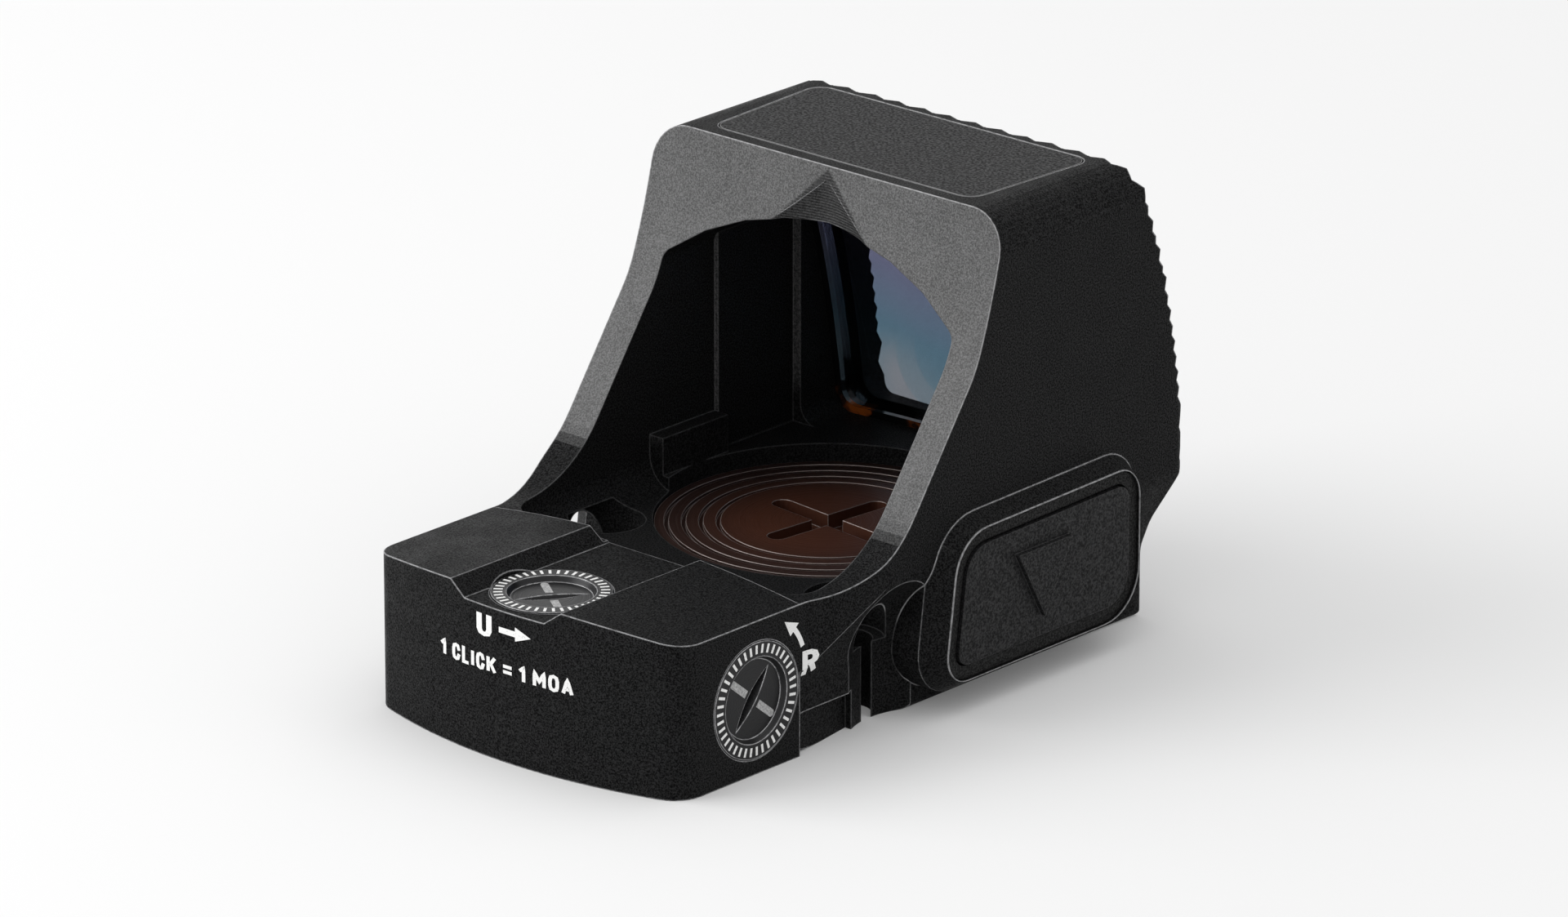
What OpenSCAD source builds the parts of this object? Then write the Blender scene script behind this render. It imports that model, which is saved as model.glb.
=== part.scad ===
// Open reflex (micro red dot) sight: low adjuster deck at the rear, battery under the hood,
// tilted lens at the front.  X is the width (shooter's right is +), Y runs forward, Z is up.
// Y values in this file count from the rear-most point of the deck; seat() moves the finished
// pieces so that the origin is at the middle of the bottom.

/* [Base] */
// Overall length, rear of the deck to the front of the hood
total_l = 43.5; // [40:0.5:52]
// Width of the rear block that holds the adjusters
block_w = 23.6; // [22:0.1:28]
// Width of the lower body ahead of the rear block
body_w = 22.9; // [21.5:0.1:27]
// Length of the rear block
block_l = 11.75; // [11.5:0.05:14]
// Height of the deck at its side edges
deck_h = 9.15; // [8.8:0.05:11]
// Height of the crown along the middle of the deck
crown_h = 10; // [9.6:0.05:12]
// Radius of the bowed rear face
rear_r = 34.6; // [30:0.5:60]
// Radius of the rear vertical corners
block_corner_r = 2; // [1:0.1:3]
// How far the front of the base stands back from the front of the hood
base_setback = 1.8; // [1:0.1:4]

/* [Hood] */
// Overall height of the hood
hood_h = 28.5; // [26:0.5:34]
// Width of the hood
hood_w = 26.6; // [25.6:0.1:31]
// Radius of the hood's top corners
hood_corner_r = 2.4; // [1.5:0.1:4]
// Slope of the middle of the rear frame, from level
frame_slope = 54.5; // [48:0.5:60]
// Radius of the sweep from the deck into the rear frame
frame_sweep_r = 8; // [6:0.5:10]
// Radius of the bowed front face, seen from the side
front_r = 50; // [45:1:80]
// Depth of the crossed grip grooves on the front face
grip_depth = 0.5; // [0.3:0.05:0.6]
// Spacing of the grip grooves, measured along the edges of the front face
grip_pitch = 1.965; // [1.7:0.005:2.4]

/* [Window] */
// Clear width inside the hood
window_w = 22.2; // [21.4:0.1:24]
// Thickness of the roof over the window's arch
roof_t = 3.4; // [2.6:0.1:4.6]
// Radius of the window's arch
arch_r = 18; // [16:0.5:24]

/* [Lens] */
// Thickness of the lens
lens_t = 1.7; // [1.2:0.1:2.2]
// Lean of the lens, its top towards the shooter
lens_tilt = 12; // [8:0.5:14]
// Radius of the lens's rear face
lens_r = 75; // [60:1:120]
// Wall left between the lens's edge and its pocket
lens_gap = 0.12; // [0.05:0.01:0.2]
// How far the front lip covers the lens
lip_cover = 0.85; // [0.6:0.05:1.2]

/* [Battery] */
// Diameter of the coin cell
cell_d = 16; // [12.5:0.1:20]
// Thickness of the coin cell
cell_t = 3.2; // [2:0.1:4]
// Wall of the battery cap's threaded skirt
skirt_wall = 1; // [0.8:0.05:1.3]
// Width of the battery cap's flange beyond the skirt
cap_rim = 0.7; // [0.5:0.05:1]
// Running clearance of the cap in its recess and thread
cap_fit = 0.06; // [0.03:0.01:0.1]
// Distance of the cap's centre from the rear of the deck
cap_y = 27.25; // [27:0.05:30]

/* [Adjusters] */
// Diameter of the adjuster dials
dial_d = 6.9; // [6.4:0.1:7.2]
// Thickness of the adjuster dials
dial_t = 1.2; // [1:0.05:1.4]
// Running clearance of the dials and their necks
dial_fit = 0.05; // [0.02:0.01:0.1]
// Wall left between the elevation dial and the rear of the deck
dial_wall = 0.55; // [0.4:0.05:1.2]
// Height of the windage dial's lower edge
windage_low = 0.93; // [0.6:0.01:1.4]

/* [Buttons] */
// Length of a button along its bottom edge
button_l = 14.9; // [13:0.1:16]
// Height of a button
button_h = 7.15; // [6:0.05:7.5]
// How far the button pods stand out from the hood
pod_proud = 1.15; // [0.8:0.05:2]
// Travel of a button
button_travel = 0.4; // [0.2:0.05:0.5]
// Gap all round a button
button_gap = 0.12; // [0.08:0.01:0.2]

/* [Mounting] */
// Distance between the two mounting screws
screw_spacing = 18.4; // [17.8:0.1:18.6]
// Radius of the mounting screw holes
screw_hole_r = 1.6; // [1.4:0.05:1.7]
// Radius of the screw head wells
well_r = 2.3; // [2.1:0.05:2.4]
// Distance of the mounting screws from the rear of the deck
screw_y = 18.4; // [18:0.1:18.6]
// Radius of the four recoil-post sockets
post_r = 1.25; // [1:0.05:1.3]
// Depth of the recoil-post sockets
post_depth = 1.6; // [1:0.1:2]

/* [Hidden] */

$fn = 96;
past = 1;                   // how far a cutter runs past the face it opens
arc_n = 8;                  // steps in each rounded corner of an outline
anodised = "#232425";
polymer = "#1b1b1c";
brass_colour = "#b08d4a";
steel_colour = "#a9abad";
board_green = "#1f4a33";

// Side view of the hood
frame_y = 13.2;             // where the sweep leaves the deck
frame_run = 7.7;            // straight part of the rear frame
frame_bend_r = 9;           // bend above the straight part
upper_slope = 70;
top_slope = 80;
base_front = total_l - base_setback;
lip_z = 9.9;                // height of the hood's lower front corner
front_z0 = 8;               // height at which the bowed front would stand upright
front_start_z = 11.4;       // lower end of the bowed front
undercut_z = 6.1;           // where the front undercut meets the base
side_flare_z = [4.2, 8.9];  // the sides flare from the body's width to the hood's between these
flare_end_y = block_l + 5.75;        // where the hood's full width is reached
front_corner_r = 0.8;
base_edge_r = 0.35;

// Deck
deck_r = (pow(block_w / 2, 2) + pow(crown_h - deck_h, 2)) / (2 * (crown_h - deck_h));
trough_z = deck_h - 0.1;
trough_half = 3.05;         // half width of the trough's floor
trough_top_half = 4.45;     // half width where its ramps reach the crown

// Battery
cell_z = 1.95;
cell_bore_r = cell_d / 2 + 0.25;
contact_port_r = 5;
cell_spring_t = 0.25;
cross_reach = 4.45;
cross_w = 1.25;
cross_depth = 0.95;
cross_turn = -6;
cap_web = 0.65;             // metal left under the cross slot
cap_under_z = cell_z + cell_t + cell_spring_t;
cap_top = cap_under_z + cap_web + cross_depth;
cap_flange_t = 1;
skirt_inner_r = cell_d / 2 + 0.3;
skirt_r = skirt_inner_r + skirt_wall;
skirt_z = cap_top - 3;
cap_d = 2 * (skirt_r + cap_rim);
groove_pitch = 1;
groove_count = 4;
groove_w = 0.26;
groove_depth = 0.22;
first_groove_r = cap_d / 2 - 3.7;
seal_wire = 0.4;
seal_fit = 0.02;
seal_z = cap_top - 1.4;

// Inside of the hood
arch_h = hood_h - roof_t;
step_y = block_l + 0.35;    // front edge of the deck, where the window begins
tray_z = cap_top + 0.2;     // floor behind the battery cap
shelf_z = cap_top + 1.1;    // floor round the front of the battery cap
ledge_y = 24.2;             // where the floor rises and the walls thicken
ledge_z = shelf_z + 2.3;
ledge_half = window_w / 2 - 1.05;
window_corner_r = 2;
panel_y = [29.8, total_l - 7.2];   // slightly raised panels on the inner side walls
panel_t = 0.3;
pocket_half = ledge_half + 0.15;
lens_half = pocket_half - lens_gap;
lens_bottom = shelf_z + lens_gap;
lens_apex = arch_h - 0.6;
lens_axis_z = (lens_bottom + lens_apex) / 2;
lens_axis_y = total_l - 4.15;
relief_angle = 66;          // half angle of the conical relief above the window
relief_lean = 53;           // its axis leans this far out of the frame
relief_drop = 1;
relief_l = 2.3;

// Crossed grip grooves round the front opening
grip_c = hood_h + 0.46;
grip_v = 0.8;
column_x = (hood_w / 2 + pocket_half - lip_cover) / 2;
band_z = (hood_h + lens_apex - lip_cover) / 2;
grip_corner_c = hood_h + 4.5;

// Top insert
insert_t = 0.8;
insert_gap = 0.1;
insert_y = [28.3, total_l - 5.3];
insert_half = [hood_w / 2 - 3.35, hood_w / 2 - 2.8];
insert_r = 1.1;

// Adjusters and their cavity in the rear block
elevation_y = dial_wall + dial_d / 2 + dial_fit;
windage_y = block_l - dial_d / 2 - 0.2;
windage_z = windage_low + dial_d / 2 + dial_fit;
dial_face_z = trough_z + 0.07;
dial_face_x = block_w / 2 + 0.02;
cavity_half = 6;
cavity_y = [elevation_y - 2.3, step_y - 0.9];
cavity_top = dial_face_z - dial_t - 1.12;
bay_half = 2.7;             // taller bay at the front of the cavity for the emitter
bay_y = cavity_y[1] - 2.25;
bay_top = trough_z - 0.43;
neck_r = 1.9;
shank_r = 0.9;
thread_fit = 0.04;
clip_t = 0.35;
clip_r = 2.2;
clip_fit = 0.04;
dial_seal_wire = 0.27;
detent_r = 0.38;
detent_reach = 2.75;
detent_l = 0.85;
detent_turn = 135;
neck_l = dial_face_z - dial_t - cavity_top;
windage_neck_l = dial_face_x - dial_t - cavity_half;
dish_r = 2.55;              // dished middle of a dial
dish_depth = 0.35;
slot_cutter_r = 3.3;        // leaf-shaped slot, cut by a pointed disc on edge
slot_cutter_angle = 25;
slot_depth = 1.15;
elevation_slot_turn = 55;
windage_slot_turn = -39;
adjust_travel = 0.375;      // carriage travel each way
slide_gap = 0.06;

// Carriages
carriage_plate_z = 1.55;
carriage_plate_t = 0.6;
carriage_nut_y = [elevation_y - 1.55, elevation_y + 1.85];
carriage_nut_top = 4.6;
carriage_nut_half = 3;
carriage_half = 5.2;
slide_y = [carriage_nut_y[1] + 0.4, cavity_y[1] - 1.25];
slide_top = cavity_top - adjust_travel - 0.325;
slide_half = 2.2;
rib_w = 0.8;
rib_h = 0.4;

// Emitter
window_half = 1.6;
emitter_z = [tray_z + 0.1, bay_top - 0.12];
pane_t = 0.45;
pane_gap = 0.08;
diode_z = (emitter_z[0] + emitter_z[1]) / 2 - 0.05;
diode_size = [1, 0.3, 0.5];
board_t = 0.3;
board_top_z = bay_top - adjust_travel - 0.1;
board_low_z = slide_top + 0.6;

// Floor of the sight
cover_t = 0.8;
cover_lip = 0.7;
cover_gap = 0.08;
pocket_top = 1.5;
pocket_half_w = 6;
pocket_end_y = total_l - 6.6;
main_board_t = 0.5;
cover_screw_r = 0.5;
cover_screw_head_r = 0.9;
cover_screw_head_t = 0.4;
cover_screw_l = 2.2;

// Side pods
button_z = 2.95;
button_y = 22.25;
pod_margin = 0.95;          // groove between a button and the pod's crest
pod_flank = 0.95;           // width of the pod's sloping flank
pod_root = hood_w / 2 - 0.35;
pod_crest = hood_w / 2 + pod_proud;
button_face = pod_crest - 0.05;
frame_face = button_face - 0.2;
frame_rubber_back = frame_face - 1.05;
flange_w = 0.45;            // flange that holds a button in behind its frame
flange_t = 0.3;
button_back = frame_rubber_back - 0.05 - flange_t;
recess_floor = button_back - button_travel - 0.05;
switch_size = [1.2, 2.8, 2.8];
switch_y = 33.6;
switch_z = 6.4;
switch_pocket_x = recess_floor - switch_size[0];
nub_r = 0.9;
symbol_h = 0.35;             // raised mark

// Recoil posts, notch and scoops
post_x = 9.2;
post_y = [14, total_l - 4.6];
notch_y = [block_l + 0.3, 16.8];
notch_depth = 0.75;
notch_h = 2.4;
well_floor_z = 4.6;
scoop_r = 5;
scoop_x = 15.7;
scoop_y = 18.9;
scoop_z = 4.4;

// ---------- helpers ----------

function unit(v) = v / norm(v);

// Points round corner b of an outline, rounded to radius r
function corner(a, b, c, r) =
    r == 0 ? [b] :
    let (
        u = unit(a - b),
        v = unit(c - b),
        half = acos(u * v) / 2,
        o = b + unit(u + v) * r / sin(half),
        s = b + u * r / tan(half) - o,
        e = b + v * r / tan(half) - o,
        a0 = atan2(s[1], s[0]),
        raw = atan2(e[1], e[0]) - a0,
        turn = raw > 180 ? raw - 360 : raw < -180 ? raw + 360 : raw
    )
    [for (i = [0:arc_n]) o + r * [cos(a0 + turn * i / arc_n), sin(a0 + turn * i / arc_n)]];

// Outline p with corner i rounded to radius r[i]
function rounded(p, r) =
    let (n = len(p))
    [for (i = [0:n - 1]) each corner(p[(i + n - 1) % n], p[i], p[(i + 1) % n], r[i])];

// Counter-clockwise outline p with every side moved out by d
function grown(p, d) =
    let (n = len(p))
    [for (i = [0:n - 1])
        let (
            u = unit(p[i] - p[(i + n - 1) % n]),
            v = unit(p[(i + 1) % n] - p[i]),
            nu = [u[1], -u[0]],
            nv = [v[1], -v[0]]
        )
        p[i] + d * (nu + nv) / (1 + nu * nv)];

// Points of an arc about centre c, from heading a0 to heading a1, turning left
function sweep(c, r, a0, a1, n) =
    [for (i = [0:n]) let (a = a0 + (a1 - a0) * i / n) c + r * [sin(a), -cos(a)]];

// Moves the model so that its origin is at the middle of the bottom
module seat() {
    translate([0, -total_l / 2, 0]) children();
}

// Extrudes a Y-Z outline along X
module along_x(x0, x1) {
    translate([x0, 0, 0]) rotate([90, 0, 90]) linear_extrude(x1 - x0) children();
}

// Extrudes an X-Z outline along Y
module along_y(y0, y1) {
    translate([0, y1, 0]) rotate([90, 0, 0]) linear_extrude(y1 - y0) children();
}

// Repeats on both sides of the middle plane
module both_sides() {
    children();
    mirror([1, 0, 0]) children();
}

// Places on the axis of the windage dial, with +Z pointing out of the right side
module on_windage_axis() {
    translate([0, windage_y, windage_z]) rotate([0, 90, 0]) children();
}

// Places on the axis of the elevation dial
module on_elevation_axis() {
    translate([0, elevation_y, 0]) children();
}

// ---------- outlines ----------

// Plan of the rear block: bowed rear face and rounded corners
function block_plan() =
    let (
        half = block_w / 2,
        inner = half - block_corner_r,
        corner_y = rear_r - sqrt(pow(rear_r - block_corner_r, 2) - pow(inner, 2)),
        bow = asin(inner / (rear_r - block_corner_r)),
        steps = 24
    )
    concat(
        [for (i = [0:arc_n]) let (a = -90 + bow + (90 - bow) * i / arc_n)
            [inner + block_corner_r * cos(a), corner_y + block_corner_r * sin(a)]],
        [[half, block_l], [-half, block_l]],
        [for (i = [0:arc_n]) let (a = 180 + (90 - bow) * i / arc_n)
            [-inner + block_corner_r * cos(a), corner_y + block_corner_r * sin(a)]],
        [for (i = [1:steps - 1]) let (a = bow * (2 * i / steps - 1))
            [rear_r * sin(a), rear_r - rear_r * cos(a)]]);

// Plan of the body and hood ahead of the rear block
function body_plan() = rounded(
    [[-block_w / 2, block_l - past], [block_w / 2, block_l - past],
     [block_w / 2, block_l + 0.6], [hood_w / 2, flare_end_y], [hood_w / 2, total_l],
     [-hood_w / 2, total_l], [-hood_w / 2, flare_end_y], [-block_w / 2, block_l + 0.6]],
    [0, 0, 3, 6, front_corner_r, front_corner_r, 6, 3]);

// Front view of the body and hood
function body_front() = rounded(
    [[-body_w / 2, 0], [body_w / 2, 0],
     [body_w / 2, side_flare_z[0]], [hood_w / 2, side_flare_z[1]],
     [hood_w / 2, hood_h], [-hood_w / 2, hood_h],
     [-hood_w / 2, side_flare_z[1]], [-body_w / 2, side_flare_z[0]]],
    [base_edge_r, base_edge_r, 3, 3, hood_corner_r, hood_corner_r, 3, 3]);

// Forward reach of the bowed front face at height z
function front_y(z) = total_l - front_r + sqrt(pow(front_r, 2) - pow(z - front_z0, 2));

// Rear frame, from the deck up: sweep, straight run, two slower bends
frame_c1 = [frame_y, deck_h + frame_sweep_r];
frame_p1 = frame_c1 + frame_sweep_r * [sin(frame_slope), -cos(frame_slope)];
frame_p2 = frame_p1 + frame_run * [cos(frame_slope), sin(frame_slope)];
frame_c2 = frame_p2 + frame_bend_r * [-sin(frame_slope), cos(frame_slope)];
frame_p3 = frame_c2 + frame_bend_r * [sin(upper_slope), -cos(upper_slope)];
frame_top_r = (hood_h - frame_p3[1]) / (cos(upper_slope) - cos(top_slope));
frame_c3 = frame_p3 + frame_top_r * [-sin(upper_slope), cos(upper_slope)];

// Side view of the body and hood
function body_side() = concat(
    [[block_l - past, 0]],
    corner([0, 0], [base_front, 0], [base_front, undercut_z], base_edge_r),
    corner([base_front, 0], [base_front, undercut_z], [total_l, lip_z], 2),
    corner([base_front, undercut_z], [total_l, lip_z], [total_l, front_start_z + past], 1.2),
    [for (i = [0:12]) let (z = front_start_z + (hood_h - front_start_z) * i / 12) [front_y(z), z]],
    [for (i = [6:-1:0]) sweep(frame_c3, frame_top_r, upper_slope, top_slope, 6)[i]],
    [for (i = [4:-1:1]) sweep(frame_c2, frame_bend_r, frame_slope, upper_slope, 5)[i]],
    [for (i = [12:-1:0]) sweep(frame_c1, frame_sweep_r, 0, frame_slope, 12)[i]],
    [[block_l - past, deck_h]]);

// Arched opening of half width w, bottom b and arch height a, with lower corners of radius r
function arch_opening(w, b, a, r) =
    let (
        side = a - arch_r + sqrt(pow(arch_r, 2) - pow(w, 2)),
        steps = 8
    )
    rounded(
        concat(
            [[-w, b], [w, b], [w, side]],
            [for (i = [1:steps - 1])
                let (x = w - 2 * w * i / steps) [x, a - arch_r + sqrt(pow(arch_r, 2) - pow(x, 2))]],
            [[-w, side]]),
        concat([r, r, 0.9], [for (i = [1:steps - 1]) 0], [0.9]));

// Outline of a button in the Y-Z plane, before its corners are rounded
button_outline = [
    [button_y, button_z],
    [button_y + button_l, button_z],
    [button_y + button_l, button_z + button_h],
    [button_y + 0.95, button_z + button_h - 0.25]
];
button_radii = [0.8, 2, 0.9, 1.8];

// The button outline moved out by d
function button_shape(d) = rounded(grown(button_outline, d), [for (r = button_radii) r + d]);

// Outline of the recess for the base cover, moved in by d
function cover_outline(d) = rounded(
    [[-pocket_half_w - cover_lip + d, cavity_y[0] - cover_lip + d],
     [pocket_half_w + cover_lip - d, cavity_y[0] - cover_lip + d],
     [pocket_half_w + cover_lip - d, pocket_end_y + cover_lip - d],
     [-pocket_half_w - cover_lip + d, pocket_end_y + cover_lip - d]],
    [for (i = [0:3]) 1.2 - d]);

// Outline of the top insert, moved out by d
function insert_outline(d) = rounded(
    grown([[-insert_half[0], insert_y[0]], [insert_half[0], insert_y[0]],
           [insert_half[1], insert_y[1]], [-insert_half[1], insert_y[1]]], d),
    [for (i = [0:3]) insert_r + d]);

// ---------- housing ----------

// Rear block under the crowned deck
module rear_block() {
    intersection() {
        linear_extrude(crown_h + past) polygon(block_plan());
        translate([0, -past, crown_h - deck_r]) rotate([-90, 0, 0])
            cylinder(r = deck_r, h = block_l + 2 * past, $fn = 400);
    }
}

// Body and hood, as the part common to the side, front and plan views
module hood_body() {
    intersection() {
        along_x(-hood_w / 2 - past, hood_w / 2 + past) polygon(body_side());
        along_y(block_l - 2 * past, total_l + past) polygon(body_front());
        linear_extrude(hood_h + past) polygon(body_plan());
    }
}

// Scoop in the side behind the pod, which opens into the screw well
module side_scoop() {
    translate([scoop_x, scoop_y, -past]) cylinder(r = scoop_r, h = scoop_z + past);
    translate([scoop_x, scoop_y, scoop_z]) sphere(scoop_r);
}

// Shallow wedge notch at the bottom edge, deepest at its front wall
module side_notch() {
    half = body_w / 2;
    translate([0, 0, -past]) linear_extrude(notch_h + past)
        polygon([[half + past, notch_y[0]], [half, notch_y[0]],
                 [half - notch_depth, notch_y[1]], [half + past, notch_y[1]]]);
}

// Bulge that carries a button, with sloping flanks
module side_pod() {
    hull() {
        along_x(pod_root, pod_root + 0.01) polygon(button_shape(pod_margin + pod_flank));
        along_x(pod_crest - 0.01, pod_crest) polygon(button_shape(pod_margin));
    }
}

// Root of the pod, down to the narrower body
module pod_root_block() {
    along_x(body_w / 2 - past, pod_root + 0.01)
        intersection() {
            polygon(button_shape(pod_margin + pod_flank));
            translate([0, base_edge_r]) square([total_l, hood_h]);
        }
}

// Recess in a pod for the button, its rubber frame and the switch
module pod_recess() {
    along_x(frame_rubber_back, button_face + past) polygon(button_shape(pod_margin));
    along_x(recess_floor, button_face) polygon(button_shape(flange_w + button_gap));
    translate([switch_pocket_x - 0.05, switch_y - 0.05, switch_z - switch_size[2] / 2 - 0.05])
        cube([switch_size[0] + past, switch_size[1] + 0.1, switch_size[2] + 0.1]);
}

// Space inside the hood, from the front edge of the deck to the lens
module window_space() {
    intersection() {
        along_y(step_y, panel_y[1])
            polygon(arch_opening(window_w / 2, tray_z, arch_h, window_corner_r));
        linear_extrude(hood_h)
            polygon(rounded([[-window_w / 2, step_y], [window_w / 2, step_y],
                             [window_w / 2, total_l], [-window_w / 2, total_l]],
                            [window_corner_r, window_corner_r, 0, 0]));
    }
}

// What stays standing inside the window space: ledges, raised floor and side panels
module window_ledges() {
    translate([-window_w / 2 - past, ledge_y, tray_z - past])
        cube([window_w + 2 * past, total_l - ledge_y, shelf_z - tray_z + past]);
    both_sides() {
        translate([ledge_half, ledge_y, tray_z - past])
            cube([window_w / 2 - ledge_half + past, panel_y[0] - ledge_y, ledge_z - tray_z + past]);
        translate([window_w / 2 - panel_t, panel_y[0], tray_z])
            cube([panel_t + past, panel_y[1] - panel_y[0] + past, hood_h]);
    }
}

// Solid bounded behind and in front by spheres, with the lens's axis
module lens_shell(back, front) {
    translate([0, lens_axis_y, lens_axis_z]) rotate([lens_tilt, 0, 0])
        translate([0, -lens_r, 0])
            difference() {
                sphere(lens_r + front, $fn = 200);
                sphere(lens_r + back, $fn = 200);
            }
}

// Half ball that reaches forward to the face the lens rests on
module lens_ball(reach) {
    translate([0, lens_axis_y, lens_axis_z]) rotate([lens_tilt, 0, 0])
        translate([0, -lens_r, 0]) sphere(lens_r + reach, $fn = 200);
}

// Pocket that the lens sits in
module lens_pocket() {
    intersection() {
        along_y(panel_y[1] - past, total_l)
            polygon(arch_opening(pocket_half, shelf_z, lens_apex + lens_gap, 1.2));
        lens_ball(lens_t + 0.01);
    }
}

// Opening through the front lip
module front_opening() {
    along_y(panel_y[1], total_l + past)
        polygon(arch_opening(pocket_half - lip_cover, shelf_z + lip_cover,
                             lens_apex - lip_cover, 1.2));
}

// Shallow V groove in the front face, through (x, z) and falling to the right
module grip_groove(x, z, reach) {
    lean = asin((z - front_z0) / front_r);
    translate([x, front_y(z), z]) rotate([lean, 0, 0]) rotate([0, -45, 0])
        translate([0, -grip_depth, -reach]) linear_extrude(2 * reach)
            polygon([[0, 0], [grip_v * tan(60), grip_v], [-grip_v * tan(60), grip_v]]);
}

// Grooves of one hand over the lens surround; the line through (x, z) has x + z = c
module grip_grooves() {
    low = front_start_z - column_x;
    high = hood_h + hood_w / 2 - hood_corner_r;
    for (i = [ceil((low - grip_c) / grip_pitch):floor((high - grip_c) / grip_pitch)])
        let (c = grip_c + i * grip_pitch) {
            if (c < band_z - hood_w / 2 - 1)
                grip_groove(-column_x, c + column_x, 3.9);
            else if (c < band_z - 8)
                grip_groove(1 - column_x, c + column_x - 1, 6);
            else if (c < grip_corner_c)
                grip_groove(c - band_z, band_z, 4.6);
            else
                grip_groove((c + hood_w / 2 - hood_h) / 2, (c - hood_w / 2 + hood_h) / 2,
                            (hood_h + hood_w / 2 - c) / 2 * sqrt(2) + 1.5);
            if (c > front_start_z + column_x && c < grip_corner_c)
                grip_groove(column_x, c - column_x, 4.6);
        }
}

// Recesses for an adjuster: dial counterbore, neck bore and detent hole, opening along +Z at face
module dial_recess(face, neck) {
    floor_z = face - dial_t;
    translate([0, 0, floor_z]) cylinder(r = dial_d / 2 + dial_fit, h = dial_t + past);
    translate([0, 0, floor_z - neck - past])
        cylinder(r = neck_r + dial_fit, h = neck + past + dial_t / 2);
    rotate([0, 0, detent_turn]) translate([detent_reach, 0, floor_z - detent_l])
        cylinder(r = detent_r + 0.02, h = detent_l + dial_t / 2, $fn = 32);
}

// Cavity for the carriages, open at the bottom
module adjuster_cavity() {
    translate([-cavity_half, cavity_y[0], -past])
        cube([2 * cavity_half, cavity_y[1] - cavity_y[0], cavity_top + past]);
    translate([-bay_half, bay_y, 0])
        cube([2 * bay_half, cavity_y[1] - bay_y, bay_top]);
    // sight line of the diode and the seat of its pane
    translate([-window_half, cavity_y[1] - past, emitter_z[0]])
        cube([2 * window_half, step_y - cavity_y[1] + 2 * past, emitter_z[1] - emitter_z[0]]);
    translate([-bay_half, cavity_y[1] - past, emitter_z[0] - 0.35])
        cube([2 * bay_half, pane_t + past, bay_top - emitter_z[0] + 0.35]);
}

// Pockets opened from the bottom: cover recess and circuit board pocket
module floor_pockets() {
    translate([0, 0, -past]) linear_extrude(cover_t + past) polygon(cover_outline(0));
    translate([-pocket_half_w, cavity_y[1] - past, -past])
        cube([2 * pocket_half_w, pocket_end_y - cavity_y[1] + past, pocket_top + past]);
}

// Places of the four cover screws
module at_cover_screws() {
    for (x = [-1, 1], y = [step_y + 0.6, pocket_end_y - 0.5])
        translate([x * (pocket_half_w - 0.6), y, 0]) children();
}

// Boss that a cover screw threads into
module cover_boss() {
    translate([0, 0, cover_t]) cylinder(r = 1.1, h = pocket_top - cover_t + past, $fn = 48);
}

// Everything round that is cut for the battery
module battery_bores() {
    translate([0, cap_y, 0]) {
        translate([0, 0, cell_z]) cylinder(r = cell_bore_r, h = cap_top - cell_z);
        translate([0, 0, cover_t]) cylinder(r = contact_port_r, h = cell_z);
        translate([0, 0, skirt_z - 0.2]) cylinder(r = skirt_r + cap_fit, h = tray_z);
        translate([0, 0, cap_top - cap_flange_t])
            cylinder(r = cap_d / 2 + cap_fit, h = ledge_z - cap_top + cap_flange_t + past);
    }
}

module housing() seat() color(anodised) {
    difference() {
        union() {
            rear_block();
            difference() {
                hood_body();
                both_sides() side_scoop();
                both_sides() side_notch();
            }
            both_sides() {
                side_pod();
                pod_root_block();
            }
        }
        difference() {
            window_space();
            window_ledges();
        }
        battery_bores();
        lens_pocket();
        front_opening();
        grip_grooves();
        mirror([1, 0, 0]) grip_grooves();
        both_sides() pod_recess();
        // deck trough and adjuster recesses
        along_y(-past, step_y + past)
            polygon([[-trough_half, trough_z], [trough_half, trough_z],
                     [trough_top_half, crown_h + 0.05], [-trough_top_half, crown_h + 0.05]]);
        on_elevation_axis() dial_recess(dial_face_z, neck_l);
        on_windage_axis() dial_recess(dial_face_x, windage_neck_l);
        difference() {
            union() {
                adjuster_cavity();
                floor_pockets();
            }
            at_cover_screws() cover_boss();
        }
        at_cover_screws() translate([0, 0, -past])
            cylinder(r = cover_screw_r + 0.05, h = cover_screw_l + past, $fn = 32);
        // mounting screws and recoil posts
        both_sides() {
            translate([screw_spacing / 2, screw_y, -past])
                cylinder(r = screw_hole_r, h = well_floor_z + 2 * past);
            translate([screw_spacing / 2, screw_y, well_floor_z])
                cylinder(r = well_r, h = tray_z - well_floor_z + past / 2);
            for (y = post_y) translate([post_x, y, -past])
                cylinder(r = post_r, h = post_depth + past);
        }
        // insert recess in the roof and tool relief above the window
        translate([0, 0, hood_h - insert_t]) linear_extrude(insert_t + past)
            polygon(insert_outline(0));
        relief();
    }
}

// Half cone milled into the frame above the window
module relief() {
    heading = top_slope - relief_drop;
    tip = frame_c3 + frame_top_r * [sin(heading), -cos(heading)];
    translate([0, tip[0], tip[1]]) rotate([heading - relief_lean - 90, 0, 0]) translate([0, 0, -relief_l])
        cylinder(r1 = relief_l * tan(relief_angle), r2 = 0, h = relief_l);
}

module top_insert() seat() color(polymer) {
    translate([0, 0, hood_h - insert_t]) linear_extrude(insert_t)
        polygon(insert_outline(-insert_gap));
}

// ---------- optics ----------

module lens() seat() color("#4a5f80", 0.6) {
    intersection() {
        along_y(panel_y[1] - past, total_l)
            polygon(arch_opening(lens_half, lens_bottom, lens_apex, 1.1));
        lens_shell(0, lens_t);
    }
}

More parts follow.
